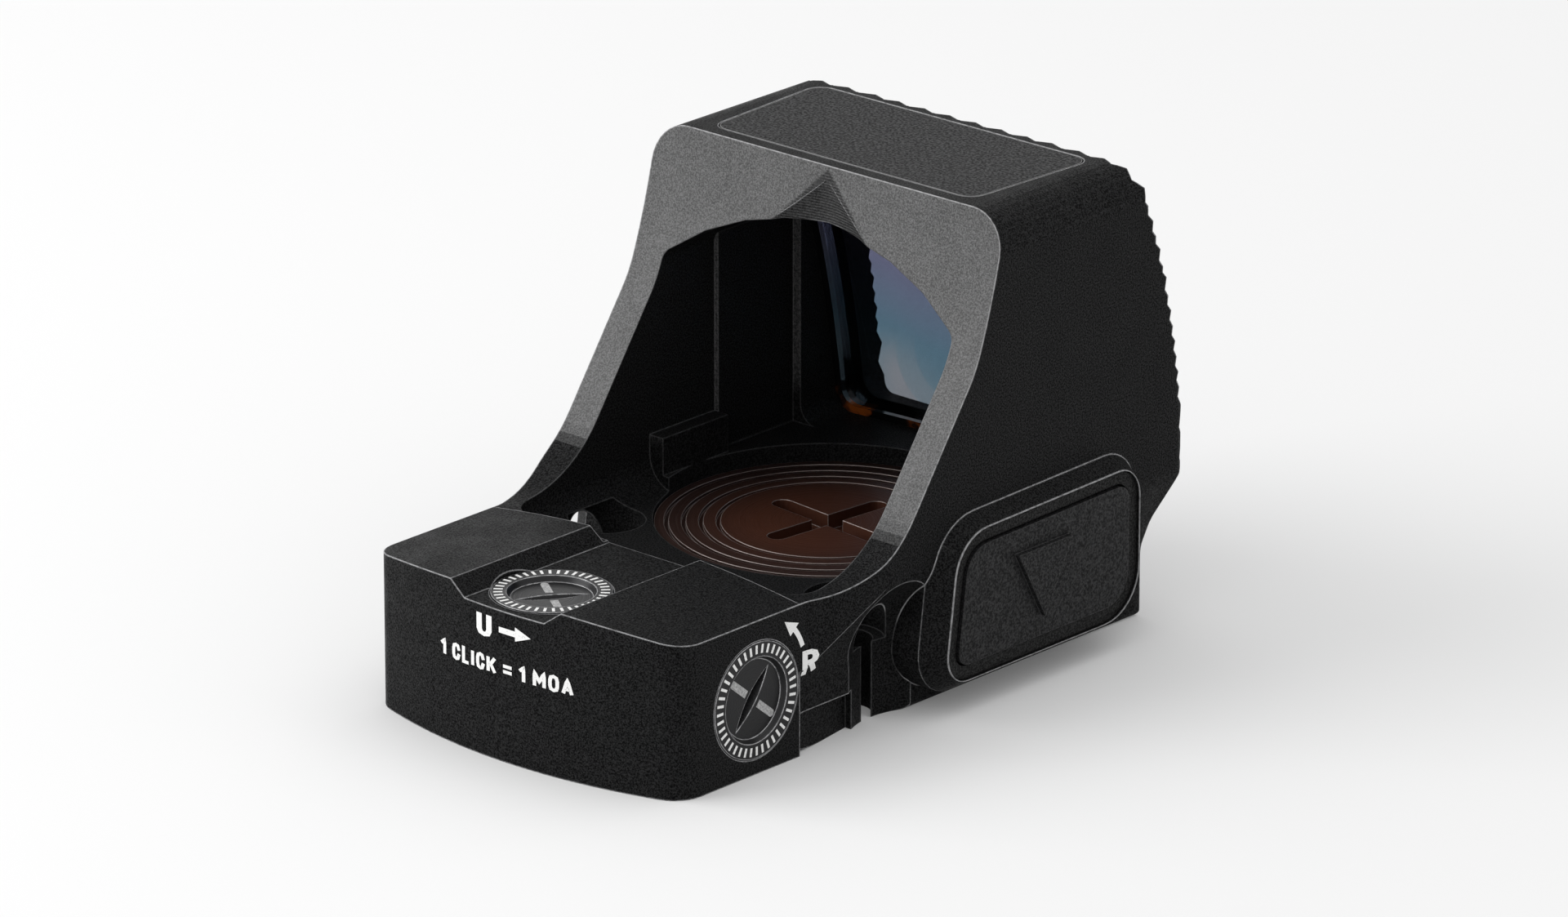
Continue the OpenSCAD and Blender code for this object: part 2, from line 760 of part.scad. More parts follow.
module lens_bond() seat() color("#0b0b0c") {
    bead_w = 0.45;
    intersection() {
        difference() {
            along_y(panel_y[1] - past, total_l)
                polygon(arch_opening(pocket_half, shelf_z, lens_apex + lens_gap, 1.2));
            along_y(panel_y[1] - 2 * past, total_l + past)
                polygon(arch_opening(pocket_half - bead_w, shelf_z + bead_w,
                                     lens_apex + lens_gap - bead_w, 1));
        }
        lens_shell(-0.4, -0.02);
    }
}

module emitter_window() seat() color("#86a0ad", 0.5) {
    translate([-bay_half + pane_gap, cavity_y[1], emitter_z[0] - 0.35 + pane_gap])
        cube([2 * (bay_half - pane_gap), pane_t, bay_top - emitter_z[0] + 0.35 - 2 * pane_gap]);
}

// ---------- battery ----------

// Rounded arm of the coin slot, from the middle out along +X
module slot_arm() {
    translate([0, -cross_w / 2, 0]) cube([cross_reach - cross_w / 2, cross_w, cross_depth + past]);
    translate([cross_reach - cross_w / 2, 0, 0])
        cylinder(r = cross_w / 2, h = cross_depth + past, $fn = 32);
}

module battery_cap() seat() color("#38281f") {
    translate([0, cap_y, 0])
        difference() {
            union() {
                translate([0, 0, cap_top - cap_flange_t]) cylinder(r = cap_d / 2, h = cap_flange_t);
                translate([0, 0, skirt_z]) cylinder(r = skirt_r, h = cap_top - skirt_z - 0.5);
            }
            translate([0, 0, skirt_z - past]) cylinder(r = skirt_inner_r, h = cap_under_z - skirt_z + past);
            translate([0, 0, cap_top - cross_depth]) rotate([0, 0, cross_turn])
                for (a = [0:90:270]) rotate([0, 0, a]) slot_arm();
            for (i = [0:groove_count - 1]) let (r = first_groove_r + i * groove_pitch)
                translate([0, 0, cap_top - groove_depth])
                    difference() {
                        cylinder(r = r + groove_w / 2, h = groove_depth + past);
                        translate([0, 0, -past]) cylinder(r = r - groove_w / 2, h = groove_depth + 3 * past);
                    }
            // groove for the seal, in the skirt just under the flange
            translate([0, 0, seal_z - seal_wire / 2 - 0.05])
                difference() {
                    cylinder(r = skirt_r + past, h = seal_wire + 0.1);
                    translate([0, 0, -past])
                        cylinder(r = skirt_r + cap_fit - seal_wire - seal_fit, h = seal_wire + 2 * past);
                }
        }
}

module cap_seal() seat() color("#151515") {
    translate([0, cap_y, seal_z])
        rotate_extrude() translate([skirt_r + cap_fit - seal_wire / 2 - seal_fit / 2, 0])
            circle(seal_wire / 2, $fn = 24);
}

module coin_cell() seat() color(steel_colour) {
    rim = 0.35;
    translate([0, cap_y, cell_z])
        union() {
            cylinder(r = cell_d / 2 - rim, h = cell_t);
            translate([0, 0, rim]) cylinder(r = cell_d / 2, h = cell_t - rim);
        }
}

// Wave ring that presses the cell down
module cell_spring() seat() color(brass_colour) {
    translate([0, cap_y, cell_z + cell_t])
        difference() {
            cylinder(r = 6.4, h = cap_under_z - cell_z - cell_t);
            translate([0, 0, -past]) cylinder(r = 5.2, h = cap_under_z);
        }
}

// Flat spring between the circuit board and the bottom of the cell
module cell_contact() seat() color(brass_colour) {
    top = cell_z;
    low = cover_t + 0.1 + main_board_t;
    translate([0, cap_y, low])
        difference() {
            cylinder(r = 4, h = top - low);
            translate([0, 0, -past]) cylinder(r = 2.6, h = top - low + 2 * past);
        }
}

// ---------- adjusters ----------

// Slotted dial with its neck and threaded shank, pointing along +Z with its face at height face
module adjuster(face, neck, shank_end) {
    under = face - dial_t;
    clip_z = under - neck;
    difference() {
        union() {
            translate([0, 0, under + 0.02]) cylinder(r = dial_d / 2, h = dial_t - 0.02);
            translate([0, 0, clip_z - clip_t - 0.15]) cylinder(r = neck_r, h = neck + clip_t + 0.2);
            translate([0, 0, shank_end]) cylinder(r = shank_r, h = clip_z - shank_end);
        }
        // dished middle
        translate([0, 0, face - dish_depth]) cylinder(r1 = dish_r - 0.2, r2 = dish_r, h = dish_depth + 0.001);
        // driver slot
        translate([0, 0, face - slot_depth + slot_cutter_r])
            for (side = [-90, 90]) rotate([side, 0, 0]) translate([0, 0, -0.01])
                cylinder(r1 = slot_cutter_r, r2 = 0, h = slot_cutter_r * tan(slot_cutter_angle));
        // grooves for the seal and the clip
        translate([0, 0, under - 0.2 - 2 * dial_seal_wire])
            difference() {
                cylinder(r = neck_r + past, h = 2 * dial_seal_wire + 0.06);
                translate([0, 0, -past])
                    cylinder(r = neck_r + dial_fit - 2 * dial_seal_wire - seal_fit, h = 3);
            }
        translate([0, 0, clip_z - clip_t - clip_fit])
            difference() {
                cylinder(r = neck_r + past, h = clip_t + clip_fit);
                translate([0, 0, -past]) cylinder(r = neck_r - 0.4, h = 3);
            }
    }
}

// Rubber ring in the neck's groove
module neck_seal(face) {
    translate([0, 0, face - dial_t - 0.2 - dial_seal_wire + 0.03])
        rotate_extrude() translate([neck_r + dial_fit - dial_seal_wire - seal_fit / 2, 0])
            circle(dial_seal_wire - 0.005, $fn = 24);
}

// Open spring clip that holds the neck from inside
module neck_clip(face, neck) {
    translate([0, 0, face - dial_t - neck - clip_t - clip_fit / 2])
        difference() {
            cylinder(r = clip_r, h = clip_t - clip_fit / 2);
            translate([0, 0, -past]) cylinder(r = neck_r - 0.36, h = 3);
            translate([0, -1, -past]) cube([4, 2, 3]);
        }
}

// Click pin under the dial
module click_pin(face) {
    rotate([0, 0, detent_turn]) translate([detent_reach, 0, face - dial_t - detent_l])
        cylinder(r = detent_r, h = detent_l - 0.02, $fn = 32);
}

module elevation_dial() seat() color("#202122")
    on_elevation_axis() rotate([0, 0, elevation_slot_turn]) adjuster(dial_face_z, neck_l, 2);
module elevation_seal() seat() color("#151515") on_elevation_axis() neck_seal(dial_face_z);
module elevation_clip() seat() color(steel_colour) on_elevation_axis() neck_clip(dial_face_z, neck_l);
module elevation_detent() seat() color(steel_colour) on_elevation_axis() click_pin(dial_face_z);

module windage_dial() seat() color("#202122")
    on_windage_axis() rotate([0, 0, windage_slot_turn]) adjuster(dial_face_x, windage_neck_l, 0.4);
module windage_seal() seat() color("#151515") on_windage_axis() neck_seal(dial_face_x);
module windage_clip() seat() color(steel_colour) on_windage_axis() neck_clip(dial_face_x, windage_neck_l);
module windage_detent() seat() color(steel_colour) on_windage_axis() click_pin(dial_face_x);

// Nut block on the elevation screw, with a plate forward under the windage carriage
module elevation_carriage() seat() color(brass_colour) {
    difference() {
        union() {
            translate([-carriage_nut_half, carriage_nut_y[0], carriage_plate_z])
                cube([2 * carriage_nut_half, carriage_nut_y[1] - carriage_nut_y[0],
                      carriage_nut_top - carriage_plate_z]);
            translate([-carriage_half, carriage_nut_y[1] - past, carriage_plate_z])
                cube([2 * carriage_half, slide_y[1] - carriage_nut_y[1] + past, carriage_plate_t]);
            translate([-carriage_half, (slide_y[0] + slide_y[1] - rib_w) / 2, carriage_plate_z])
                cube([2 * carriage_half, rib_w, carriage_plate_t + rib_h]);
        }
        on_elevation_axis() cylinder(r = shank_r + thread_fit, h = hood_h);
    }
}

// Carriage driven across by the windage screw, with a riser that holds the emitter board
module windage_carriage() seat() color(brass_colour) {
    bottom = carriage_plate_z + carriage_plate_t + slide_gap;
    rib_y = (slide_y[0] + slide_y[1] - rib_w) / 2;
    slot_half = shank_r + thread_fit + adjust_travel;
    difference() {
        union() {
            translate([-slide_half, slide_y[0], bottom])
                cube([2 * slide_half, slide_y[1] - slide_y[0], slide_top - bottom]);
            translate([-window_half + 0.2, slide_y[1] - 0.9, bottom])
                cube([2 * window_half - 0.4, 0.9, board_top_z - bottom]);
        }
        translate([-slide_half - past, rib_y - slide_gap, bottom - past])
            cube([2 * slide_half + 2 * past, rib_w + 2 * slide_gap, rib_h + past]);
        // upright slot, so that the carriage can rise and fall on the windage screw
        for (s = [-1, 1]) translate([-slide_half - past, windage_y, windage_z + s * adjust_travel])
            rotate([0, 90, 0]) cylinder(r = shank_r + thread_fit, h = 2 * slide_half + 2 * past);
        translate([-slide_half - past, windage_y - shank_r - thread_fit, windage_z - adjust_travel])
            cube([2 * slide_half + 2 * past, 2 * (shank_r + thread_fit), 2 * adjust_travel]);
    }
}

// Points of a coil of n turns, radius r and height h, as rings of a round wire of radius w
module coil(n, r, h, w) {
    sides = 8;
    steps = 16 * n;
    rise = h - 2 * w;
    points = [for (i = [0:steps], k = [0:sides - 1])
        let (a = 360 * n * i / steps, b = 360 * k / sides, q = r + w * cos(b))
        [q * cos(a), q * sin(a), w + rise * i / steps + w * sin(b)]];
    sheets = [for (i = [0:steps - 1], k = [0:sides - 1])
        let (m = (k + 1) % sides)
        [i * sides + k, i * sides + m, (i + 1) * sides + m, (i + 1) * sides + k]];
    polyhedron(points, concat(
        [[for (k = [sides - 1:-1:0]) k]],
        [for (f = sheets) [f[3], f[2], f[1], f[0]]],
        [[for (k = [0:sides - 1]) steps * sides + k]]));
}

// Disc spring between the base cover and the carriage
module elevation_spring() seat() color(steel_colour) {
    low = cover_t + 0.02;
    high = carriage_plate_z - 0.02;
    translate([0, elevation_y, 0]) rotate_extrude()
        polygon([[1.85, low], [2.1, low], [1.25, high], [1, high]]);
}

module windage_spring() seat() color(steel_colour)
    translate([-cavity_half + 0.02, windage_y, windage_z]) rotate([0, 90, 0])
        coil(4, 1.3, cavity_half - slide_half - adjust_travel - 0.2, 0.16);

module emitter_board() seat() color(board_green) {
    translate([-window_half + 0.3, slide_y[1], board_low_z])
        cube([2 * window_half - 0.6, board_t, board_top_z - board_low_z]);
}

module emitter_diode() seat() color("#d9d4b8") {
    translate([-diode_size[0] / 2, slide_y[1] + board_t, diode_z - diode_size[2] / 2]) cube(diode_size);
}

// ---------- electronics and floor ----------

module main_board() seat() color(board_green) {
    difference() {
        translate([-pocket_half_w + 0.15, step_y, cover_t + 0.1])
            cube([2 * pocket_half_w - 0.3, pocket_end_y - step_y - 0.2, main_board_t]);
        at_cover_screws() cylinder(r = 1.25, h = pocket_top + past, $fn = 48);
    }
}

module base_cover() seat() color(polymer) {
    difference() {
        linear_extrude(cover_t) polygon(cover_outline(cover_gap));
        at_cover_screws() {
            translate([0, 0, -past]) cylinder(r = cover_screw_r + 0.1, h = cover_t + 2 * past, $fn = 32);
            translate([0, 0, -past])
                cylinder(r = cover_screw_head_r + 0.08, h = cover_screw_head_t + past, $fn = 32);
        }
    }
}

module cover_screws() seat() color(steel_colour) {
    at_cover_screws() difference() {
        union() {
            translate([0, 0, 0.03]) cylinder(r = cover_screw_head_r, h = cover_screw_head_t - 0.03, $fn = 32);
            translate([0, 0, 0.03]) cylinder(r = cover_screw_r, h = cover_screw_l - 0.1, $fn = 32);
        }
        translate([0, 0, -past]) cylinder(r = 0.4, h = past + 0.25, $fn = 6);
    }
}

// ---------- buttons ----------

// Triangle of the control mark, pointing up or down
module mark(up) {
    s = up ? 1 : -1;
    c = [button_y + 7.2, button_z + 3.4];
    polygon([c + [-2.35, -2.15 * s], c + [2.35, -2.15 * s], c + [0, 2.15 * s]]);
}

// Right-hand button; up chooses its mark
module button(up) {
    along_x(button_back, button_face) polygon(button_shape(0));
    along_x(button_back, button_back + flange_t) polygon(button_shape(flange_w));
    along_x(button_back, button_face + symbol_h) mark(up);
    translate([0, switch_y + switch_size[1] / 2, switch_z]) rotate([0, 90, 0])
        translate([0, 0, recess_floor + button_travel + 0.02])
            cylinder(r = nub_r, h = button_face - recess_floor - 2 * button_travel);
}

// Rubber frame in the groove round a button
module button_frame() {
    along_x(frame_rubber_back + 0.02, frame_face)
        difference() {
            polygon(button_shape(pod_margin - 0.04));
            polygon(button_shape(button_gap));
        }
}

module button_down() seat() color(polymer) button(false);
module button_up() seat() color(polymer) mirror([1, 0, 0]) button(true);
module button_frame_right() seat() color("#1a1a1a") button_frame();
module button_frame_left() seat() color("#1a1a1a") mirror([1, 0, 0]) button_frame();

// Tactile switch behind a button
module switch_body() {
    translate([switch_pocket_x, switch_y, switch_z - switch_size[2] / 2]) cube(switch_size);
}
module switch_right() seat() color(steel_colour) switch_body();
module switch_left() seat() color(steel_colour) mirror([1, 0, 0]) switch_body();

housing();
top_insert();
lens();
lens_bond();
emitter_window();
battery_cap();
cap_seal();
coin_cell();
cell_spring();
cell_contact();
elevation_dial();
elevation_seal();
elevation_clip();
elevation_detent();
windage_dial();
windage_seal();
windage_clip();
windage_detent();
elevation_carriage();
windage_carriage();
elevation_spring();
windage_spring();
emitter_board();
emitter_diode();
main_board();
button_up();
button_down();
button_frame_left();
button_frame_right();
switch_left();
switch_right();
base_cover();
cover_screws();
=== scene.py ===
"""Looks of an open reflex sight: finishes, printed marks, adjuster scales and the stage."""
import math

import bpy
import numpy as np
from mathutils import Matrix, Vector


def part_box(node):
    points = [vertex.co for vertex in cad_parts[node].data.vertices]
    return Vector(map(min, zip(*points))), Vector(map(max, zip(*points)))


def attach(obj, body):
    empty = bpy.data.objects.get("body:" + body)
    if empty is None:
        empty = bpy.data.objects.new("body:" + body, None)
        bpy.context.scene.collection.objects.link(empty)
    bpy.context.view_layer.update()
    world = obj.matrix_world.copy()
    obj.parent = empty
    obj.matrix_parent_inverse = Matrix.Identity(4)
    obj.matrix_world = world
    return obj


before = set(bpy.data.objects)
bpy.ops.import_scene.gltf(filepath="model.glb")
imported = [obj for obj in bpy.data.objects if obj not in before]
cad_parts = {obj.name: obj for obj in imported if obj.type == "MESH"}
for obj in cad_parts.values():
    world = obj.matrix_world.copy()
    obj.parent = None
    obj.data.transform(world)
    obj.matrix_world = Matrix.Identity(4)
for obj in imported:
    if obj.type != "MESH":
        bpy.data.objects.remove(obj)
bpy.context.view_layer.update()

bl_info = {
    "name": "Reflex Sight Looks",
    "version": (1, 0, 0),
    "blender": (4, 5, 0),
    "location": "View3D > Sidebar > Sight",
    "description": "Finishes, marks and stage of an open reflex sight",
    "category": "Object",
}

MM = 0.001
HOUSING_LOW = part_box("housing")[0]
REAR_APEX_Y = HOUSING_LOW.y
ELEVATION_LOW, ELEVATION_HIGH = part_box("elevation_dial")
WINDAGE_LOW, WINDAGE_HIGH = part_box("windage_dial")
CAP_LOW, CAP_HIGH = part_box("battery_cap")
LENS_LOW, LENS_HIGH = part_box("lens")
CAP_CENTRE = Vector(((CAP_LOW.x + CAP_HIGH.x) / 2, (CAP_LOW.y + CAP_HIGH.y) / 2, CAP_HIGH.z))
DIAL_RADIUS = (ELEVATION_HIGH.x - ELEVATION_LOW.x) / 2
ELEVATION_FACE = Vector((0, (ELEVATION_LOW.y + ELEVATION_HIGH.y) / 2, ELEVATION_HIGH.z))
WINDAGE_FACE = Vector((WINDAGE_HIGH.x, (WINDAGE_LOW.y + WINDAGE_HIGH.y) / 2,
                       (WINDAGE_LOW.z + WINDAGE_HIGH.z) / 2))

# Outside of the block behind the hood: its bowed rear, its flat side, where the side bends out, and
# the slope that rises beside the bend. Lengths along Y run forward from the rearmost point
REAR_BOW = 34.6 * MM
SIDE_X = 11.8 * MM
BEND_Y, BEND_RATE = 11.85 * MM, 143
SLOPE_Y, SLOPE_X, SLOPE_FOOT, SLOPE_LEAN = 11.75 * MM, 11.611 * MM, 4.6 * MM, 0.393

# Inside of the hood, where the pale edge lines are dimmed as less wear and painted shade: side wall, roof
# and rear edge of the tray
INSIDE_X, INSIDE_Z, INSIDE_Y = 11.0 * MM, 24.9 * MM, REAR_APEX_Y + 11.9 * MM
INSIDE_BLUR = 0.4 * MM

# Painted highlight on the frame round the window: where it starts, and how far it faces the rear
FRAME_FOOT, FRAME_FULL = 9.6 * MM, 11.5 * MM
FRAME_FACING, FRAME_FACING_FULL = -0.62, -0.78

# Relief cut above the window: inside it |x| + z is under its flank and z is over its foot
RELIEF_FLANK, RELIEF_FLANK_END = 28.1 * MM, 28.5 * MM
RELIEF_FOOT, RELIEF_FOOT_FULL = 24.2 * MM, 24.8 * MM
CUTTER_STEP = 0.17 * MM

# Painted reflection on the lens, a pale patch: centre, radius and blur of its round edge, and where it
# fades out
PAINTED_REFLECTION_AT = (-2.4 * MM, (LENS_LOW.y + LENS_HIGH.y) / 2, 12.4 * MM)
PAINTED_REFLECTION_RADIUS, PAINTED_REFLECTION_BLUR = 3.35 * MM, 0.1 * MM
PAINTED_REFLECTION_TOP, PAINTED_REFLECTION_TOP_FULL = 14.2 * MM, 11.0 * MM
PAINTED_REFLECTION_LEFT, PAINTED_REFLECTION_LEFT_FULL = -8.4 * MM, -6.6 * MM

# Printed marks, as (across, up) of a lower left corner or of an arrow's tail and tip. Across runs
# right from the middle on the rear face, and forward from the rearmost point on the right side
U_WIDTH, R_WIDTH = 1.2 * MM, 1.15 * MM
U_AT = (-2.02 * MM, 7.2 * MM)
LEGEND_AT = (-5.12 * MM, 5.12 * MM)
UP_ARROW = ((-0.25 * MM, 7.9 * MM), (2.13 * MM, 7.9 * MM))
R_AT = (REAR_APEX_Y + 11.95 * MM, 4.75 * MM)
RIGHT_ARROW = ((REAR_APEX_Y + 11.95 * MM, 6.6 * MM), (REAR_APEX_Y + 10.45 * MM, 8.45 * MM))
# Shaft's half width, head's half width and head's length, then how far the right arrow bows aside
UP_ARROW_SHAPE = (0.17 * MM, 0.42 * MM, 1.15 * MM)
RIGHT_ARROW_SHAPE = (0.16 * MM, 0.46 * MM, 1.05 * MM, -0.22 * MM)

# Adjuster scales: gaps from a dial's edge to the ends of its lines, reach of the index bar from the
# axis, depth of the dished face that holds it, and turn of each screwdriver slot in degrees
LINE_END_GAP, LINE_START_GAP = 0.16 * MM, 0.68 * MM
BAR_START, BAR_END = 0.62 * MM, 2.25 * MM
DISH = 0.35 * MM
ELEVATION_SLOT, WINDAGE_SLOT = 55, -39

# Stage: camera's place, focal length and sensor width in millimetres, floor's half width in metres,
# its colour, the light that it adds where it is seen, and the point that the lamps face
CAMERA_AT = (382.86 * MM, -423.44 * MM, 218.91 * MM)
CAMERA_FOCAL, CAMERA_SENSOR = 243.9, 36.0
FLOOR_HALF = 3.0
FLOOR_WHITE, FLOOR_LIFT = 0.8, 0.08
AIM = Vector((0, 0, 14 * MM))


# ---------------------------------------------------------------- settings

class FinishSettings(bpy.types.PropertyGroup):
    """Colours and grain of the sight's finishes."""
    anodising: bpy.props.FloatVectorProperty(
        name="Anodising", description="Colour of the blasted black anodised housing",
        subtype="COLOR", size=3, min=0, max=1, default=(0.0095, 0.0096, 0.0098))
    # painted highlight: paler colour for the frame's rear-facing faces
    frame_highlight_colour: bpy.props.FloatVectorProperty(
        name="Frame", description="Colour of the frame round the window",
        subtype="COLOR", size=3, min=0, max=1, default=(0.05, 0.05, 0.0505))
    polymer: bpy.props.FloatVectorProperty(
        name="Polymer", description="Colour of the moulded insert, buttons and cover",
        subtype="COLOR", size=3, min=0, max=1, default=(0.012, 0.012, 0.0125))
    adjuster: bpy.props.FloatVectorProperty(
        name="Adjusters", description="Colour of the turned adjusters",
        subtype="COLOR", size=3, min=0, max=1, default=(0.016, 0.016, 0.017))
    rubber: bpy.props.FloatVectorProperty(
        name="Rubber", description="Colour of the frames round the buttons",
        subtype="COLOR", size=3, min=0, max=1, default=(0.009, 0.009, 0.009))
    # pale edge colour: worn anodising and painted highlight
    worn: bpy.props.FloatVectorProperty(
        name="Bare metal", description="Colour of the housing's edges where the anodising is worn off",
        subtype="COLOR", size=3, min=0, max=1, default=(0.5, 0.5, 0.51))
    # painted glints: amber patches low on the lens's bead
    amber: bpy.props.FloatVectorProperty(
        name="Bead, amber", description="Colour of the patches low on the lens's bead",
        subtype="COLOR", size=3, min=0, max=1, default=(0.32, 0.075, 0.01))
    cap: bpy.props.FloatVectorProperty(
        name="Battery cap", description="Colour of the turned battery cap",
        subtype="COLOR", size=3, min=0, max=1, default=(0.085, 0.03, 0.017))
    paint: bpy.props.FloatVectorProperty(
        name="Paint", description="Colour of the printed marks",
        subtype="COLOR", size=3, min=0, max=1, default=(0.86, 0.86, 0.85))
    coating_top: bpy.props.FloatVectorProperty(
        name="Coating, top", description="Tint of the lens near its top edge",
        subtype="COLOR", size=3, min=0, max=1, default=(0.15, 0.138, 0.215))
    coating_low: bpy.props.FloatVectorProperty(
        name="Coating, bottom", description="Tint of the lens near its bottom edge",
        subtype="COLOR", size=3, min=0, max=1, default=(0.095, 0.17, 0.215))
    blast_grain: bpy.props.FloatProperty(
        name="Blasting grain", description="Size of the pits left by bead blasting",
        subtype="DISTANCE", unit="LENGTH", default=0.10 * MM, min=0.01 * MM, max=MM)
    mould_grain: bpy.props.FloatProperty(
        name="Mould grain", description="Size of the texture on moulded parts",
        subtype="DISTANCE", unit="LENGTH", default=0.16 * MM, min=0.01 * MM, max=MM)
    # the bright edge line is worn anodising and painted highlight
    worn_and_lit_edge: bpy.props.FloatProperty(
        name="Worn edge", description="Width of the bright line along sharp edges",
        subtype="DISTANCE", unit="LENGTH", default=0.13 * MM, min=0.01 * MM, max=MM)
    edge_round: bpy.props.FloatProperty(
        name="Edge rounding", description="Radius that sharp edges appear to have",
        subtype="DISTANCE", unit="LENGTH", default=0.14 * MM, min=0.01 * MM, max=MM)


class MarkSettings(bpy.types.PropertyGroup):
    """Sizes of the printed marks and adjuster scales."""
    letter_u: bpy.props.FloatProperty(
        name="U height", description="Height of the letter beside the elevation arrow",
        subtype="DISTANCE", unit="LENGTH", default=1.32 * MM, min=0.1 * MM)
    letter_r: bpy.props.FloatProperty(
        name="R height", description="Height of the letter beside the windage arrow",
        subtype="DISTANCE", unit="LENGTH", default=1.5 * MM, min=0.1 * MM)
    legend: bpy.props.FloatProperty(
        name="Legend height", description="Height of the click legend's capitals",
        subtype="DISTANCE", unit="LENGTH", default=1.02 * MM, min=0.1 * MM)
    legend_width: bpy.props.FloatProperty(
        name="Legend width", description="Length of the click legend from end to end",
        subtype="DISTANCE", unit="LENGTH", default=10.2 * MM, min=1 * MM)
    film: bpy.props.FloatProperty(
        name="Paint film", description="Thickness of the printed paint",
        subtype="DISTANCE", unit="LENGTH", default=0.02 * MM, min=0.001 * MM)
    ticks: bpy.props.IntProperty(
        name="Scale lines", description="Lines round each adjuster's rim",
        default=40, min=4, max=100)
    tick_width: bpy.props.FloatProperty(
        name="Line width", description="Width of one line of an adjuster's scale",
        subtype="DISTANCE", unit="LENGTH", default=0.16 * MM, min=0.01 * MM)
    bar_width: bpy.props.FloatProperty(
        name="Index bar", description="Width of the bar across an adjuster's face",
        subtype="DISTANCE", unit="LENGTH", default=0.46 * MM, min=0.01 * MM)


class StageSettings(bpy.types.PropertyGroup):
    """Camera, lamps and floor."""
    heading: bpy.props.FloatProperty(
        name="Heading", description="Camera's angle to the right of straight behind",
        subtype="ANGLE", unit="ROTATION", default=math.radians(42.0))
    elevation: bpy.props.FloatProperty(
        name="Elevation", description="Camera's angle above the floor",
        subtype="ANGLE", unit="ROTATION", default=math.radians(19.9))
    key_power: bpy.props.FloatProperty(
        name="Key lamp", description="Power of the lamp behind the shooter's left shoulder, in watts",
        default=1.4, min=0)
    fill_power: bpy.props.FloatProperty(
        name="Fill lamp", description="Power of the overhead lamp, in watts",
        default=0.5, min=0)
    surround: bpy.props.FloatProperty(
        name="Surround", description="Strength of the even light from all round",
        default=0.75, min=0, max=1)


# ---------------------------------------------------------------- materials

class Shader:
    """A material's node tree with short ways to add and join nodes."""

    def __init__(self, name):
        self.material = bpy.data.materials.new(name)
        self.material.use_nodes = True
        self.tree = self.material.node_tree
        self.surface = self.tree.nodes["Principled BSDF"]
        self.output = self.tree.nodes["Material Output"]
        self.place = self.tree.nodes.new("ShaderNodeTexCoord").outputs["Object"]

    def node(self, kind, inputs=None, **settings):
        """A new node of a kind, with its inputs joined or set and its settings made."""
        made = self.tree.nodes.new("ShaderNode" + kind)
        for key, value in settings.items():
            setattr(made, key, value)
        for key, value in (inputs or {}).items():
            self.put(made, key, value)
        return made

    def put(self, node, key, value):
        """Joins a socket to a node's input, or sets the input to a value."""
        socket = node.inputs[key]
        if isinstance(value, bpy.types.NodeSocket):
            self.tree.links.new(value, socket)
        else:
            socket.default_value = value

    def set(self, **values):
        """Joins or sets the surface shader's own inputs, named with _ for each space."""
        for key, value in values.items():
            self.put(self.surface, key.replace("_", " "), value)

    def math(self, operation, a, b=0.0, c=0.0, clamp=False):
        """One operation on up to three numbers or sockets."""
        made = self.node("Math", {0: a, 1: b, 2: c}, operation=operation, use_clamp=clamp)
        return made.outputs[0]

    def vector(self, operation, a, b, out="Vector"):
        """One operation on two vectors; out names the result, Vector or Value."""
        return self.node("VectorMath", {0: a, 1: b}, operation=operation).outputs[out]

    def noise(self, size, detail=2.0, rough=0.5, place=None):
        """Cloudy noise from 0 to 1 whose lumps are about one size across."""
        made = self.node("TexNoise", {"Vector": place or self.place, "Scale": 1 / size,
                                      "Detail": detail, "Roughness": rough})
        return made.outputs["Fac"]

    def span(self, value, low, high, to_low=0.0, to_high=1.0, smooth=True):
        """A value carried from low..high to to_low..to_high and held there past both ends."""
        made = self.node("MapRange", {"Value": value, "From Min": low, "From Max": high,
                                      "To Min": to_low, "To Max": to_high},
                         interpolation_type="SMOOTHSTEP" if smooth else "LINEAR")
        return made.outputs["Result"]

    def mix(self, factor, a, b):
        """Colour a where the factor is 0, running to colour b where it is 1."""
        made = self.node("Mix", data_type="RGBA")
        self.put(made, 0, factor)
        self.put(made, 6, a)
        self.put(made, 7, b)
        return made.outputs[2]

    def bump(self, height, distance, normal=None, strength=1.0):
        """The normal over a relief that is one distance deep."""
        inputs = {"Height": height, "Distance": distance, "Strength": strength}
        if normal is not None:
            inputs["Normal"] = normal
        return self.node("Bump", inputs).outputs["Normal"]

    def rounded(self, radius, samples=6):
        """The normal with sharp edges rounded to a radius."""
        return self.node("Bevel", {"Radius": radius}, samples=samples).outputs["Normal"]

    def edge(self, radius, low=0.01, high=0.10):
        """How near a sharp edge is: 0 on a flat, 1 where the rounded normal leaves the true one."""
        true = self.node("NewGeometry").outputs["Normal"]
        agree = self.vector("DOT_PRODUCT", self.rounded(radius), true, "Value")
        return self.span(self.math("SUBTRACT", 1.0, agree), low, high)


def rgba(colour):
    """A colour with full opacity."""
    return (*colour, 1.0)


def give(material, *nodes):
    """Puts a material on CAD nodes in place of what they came with."""
    for name in nodes:
        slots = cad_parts[name].data.materials
        slots.clear()
        slots.append(material)


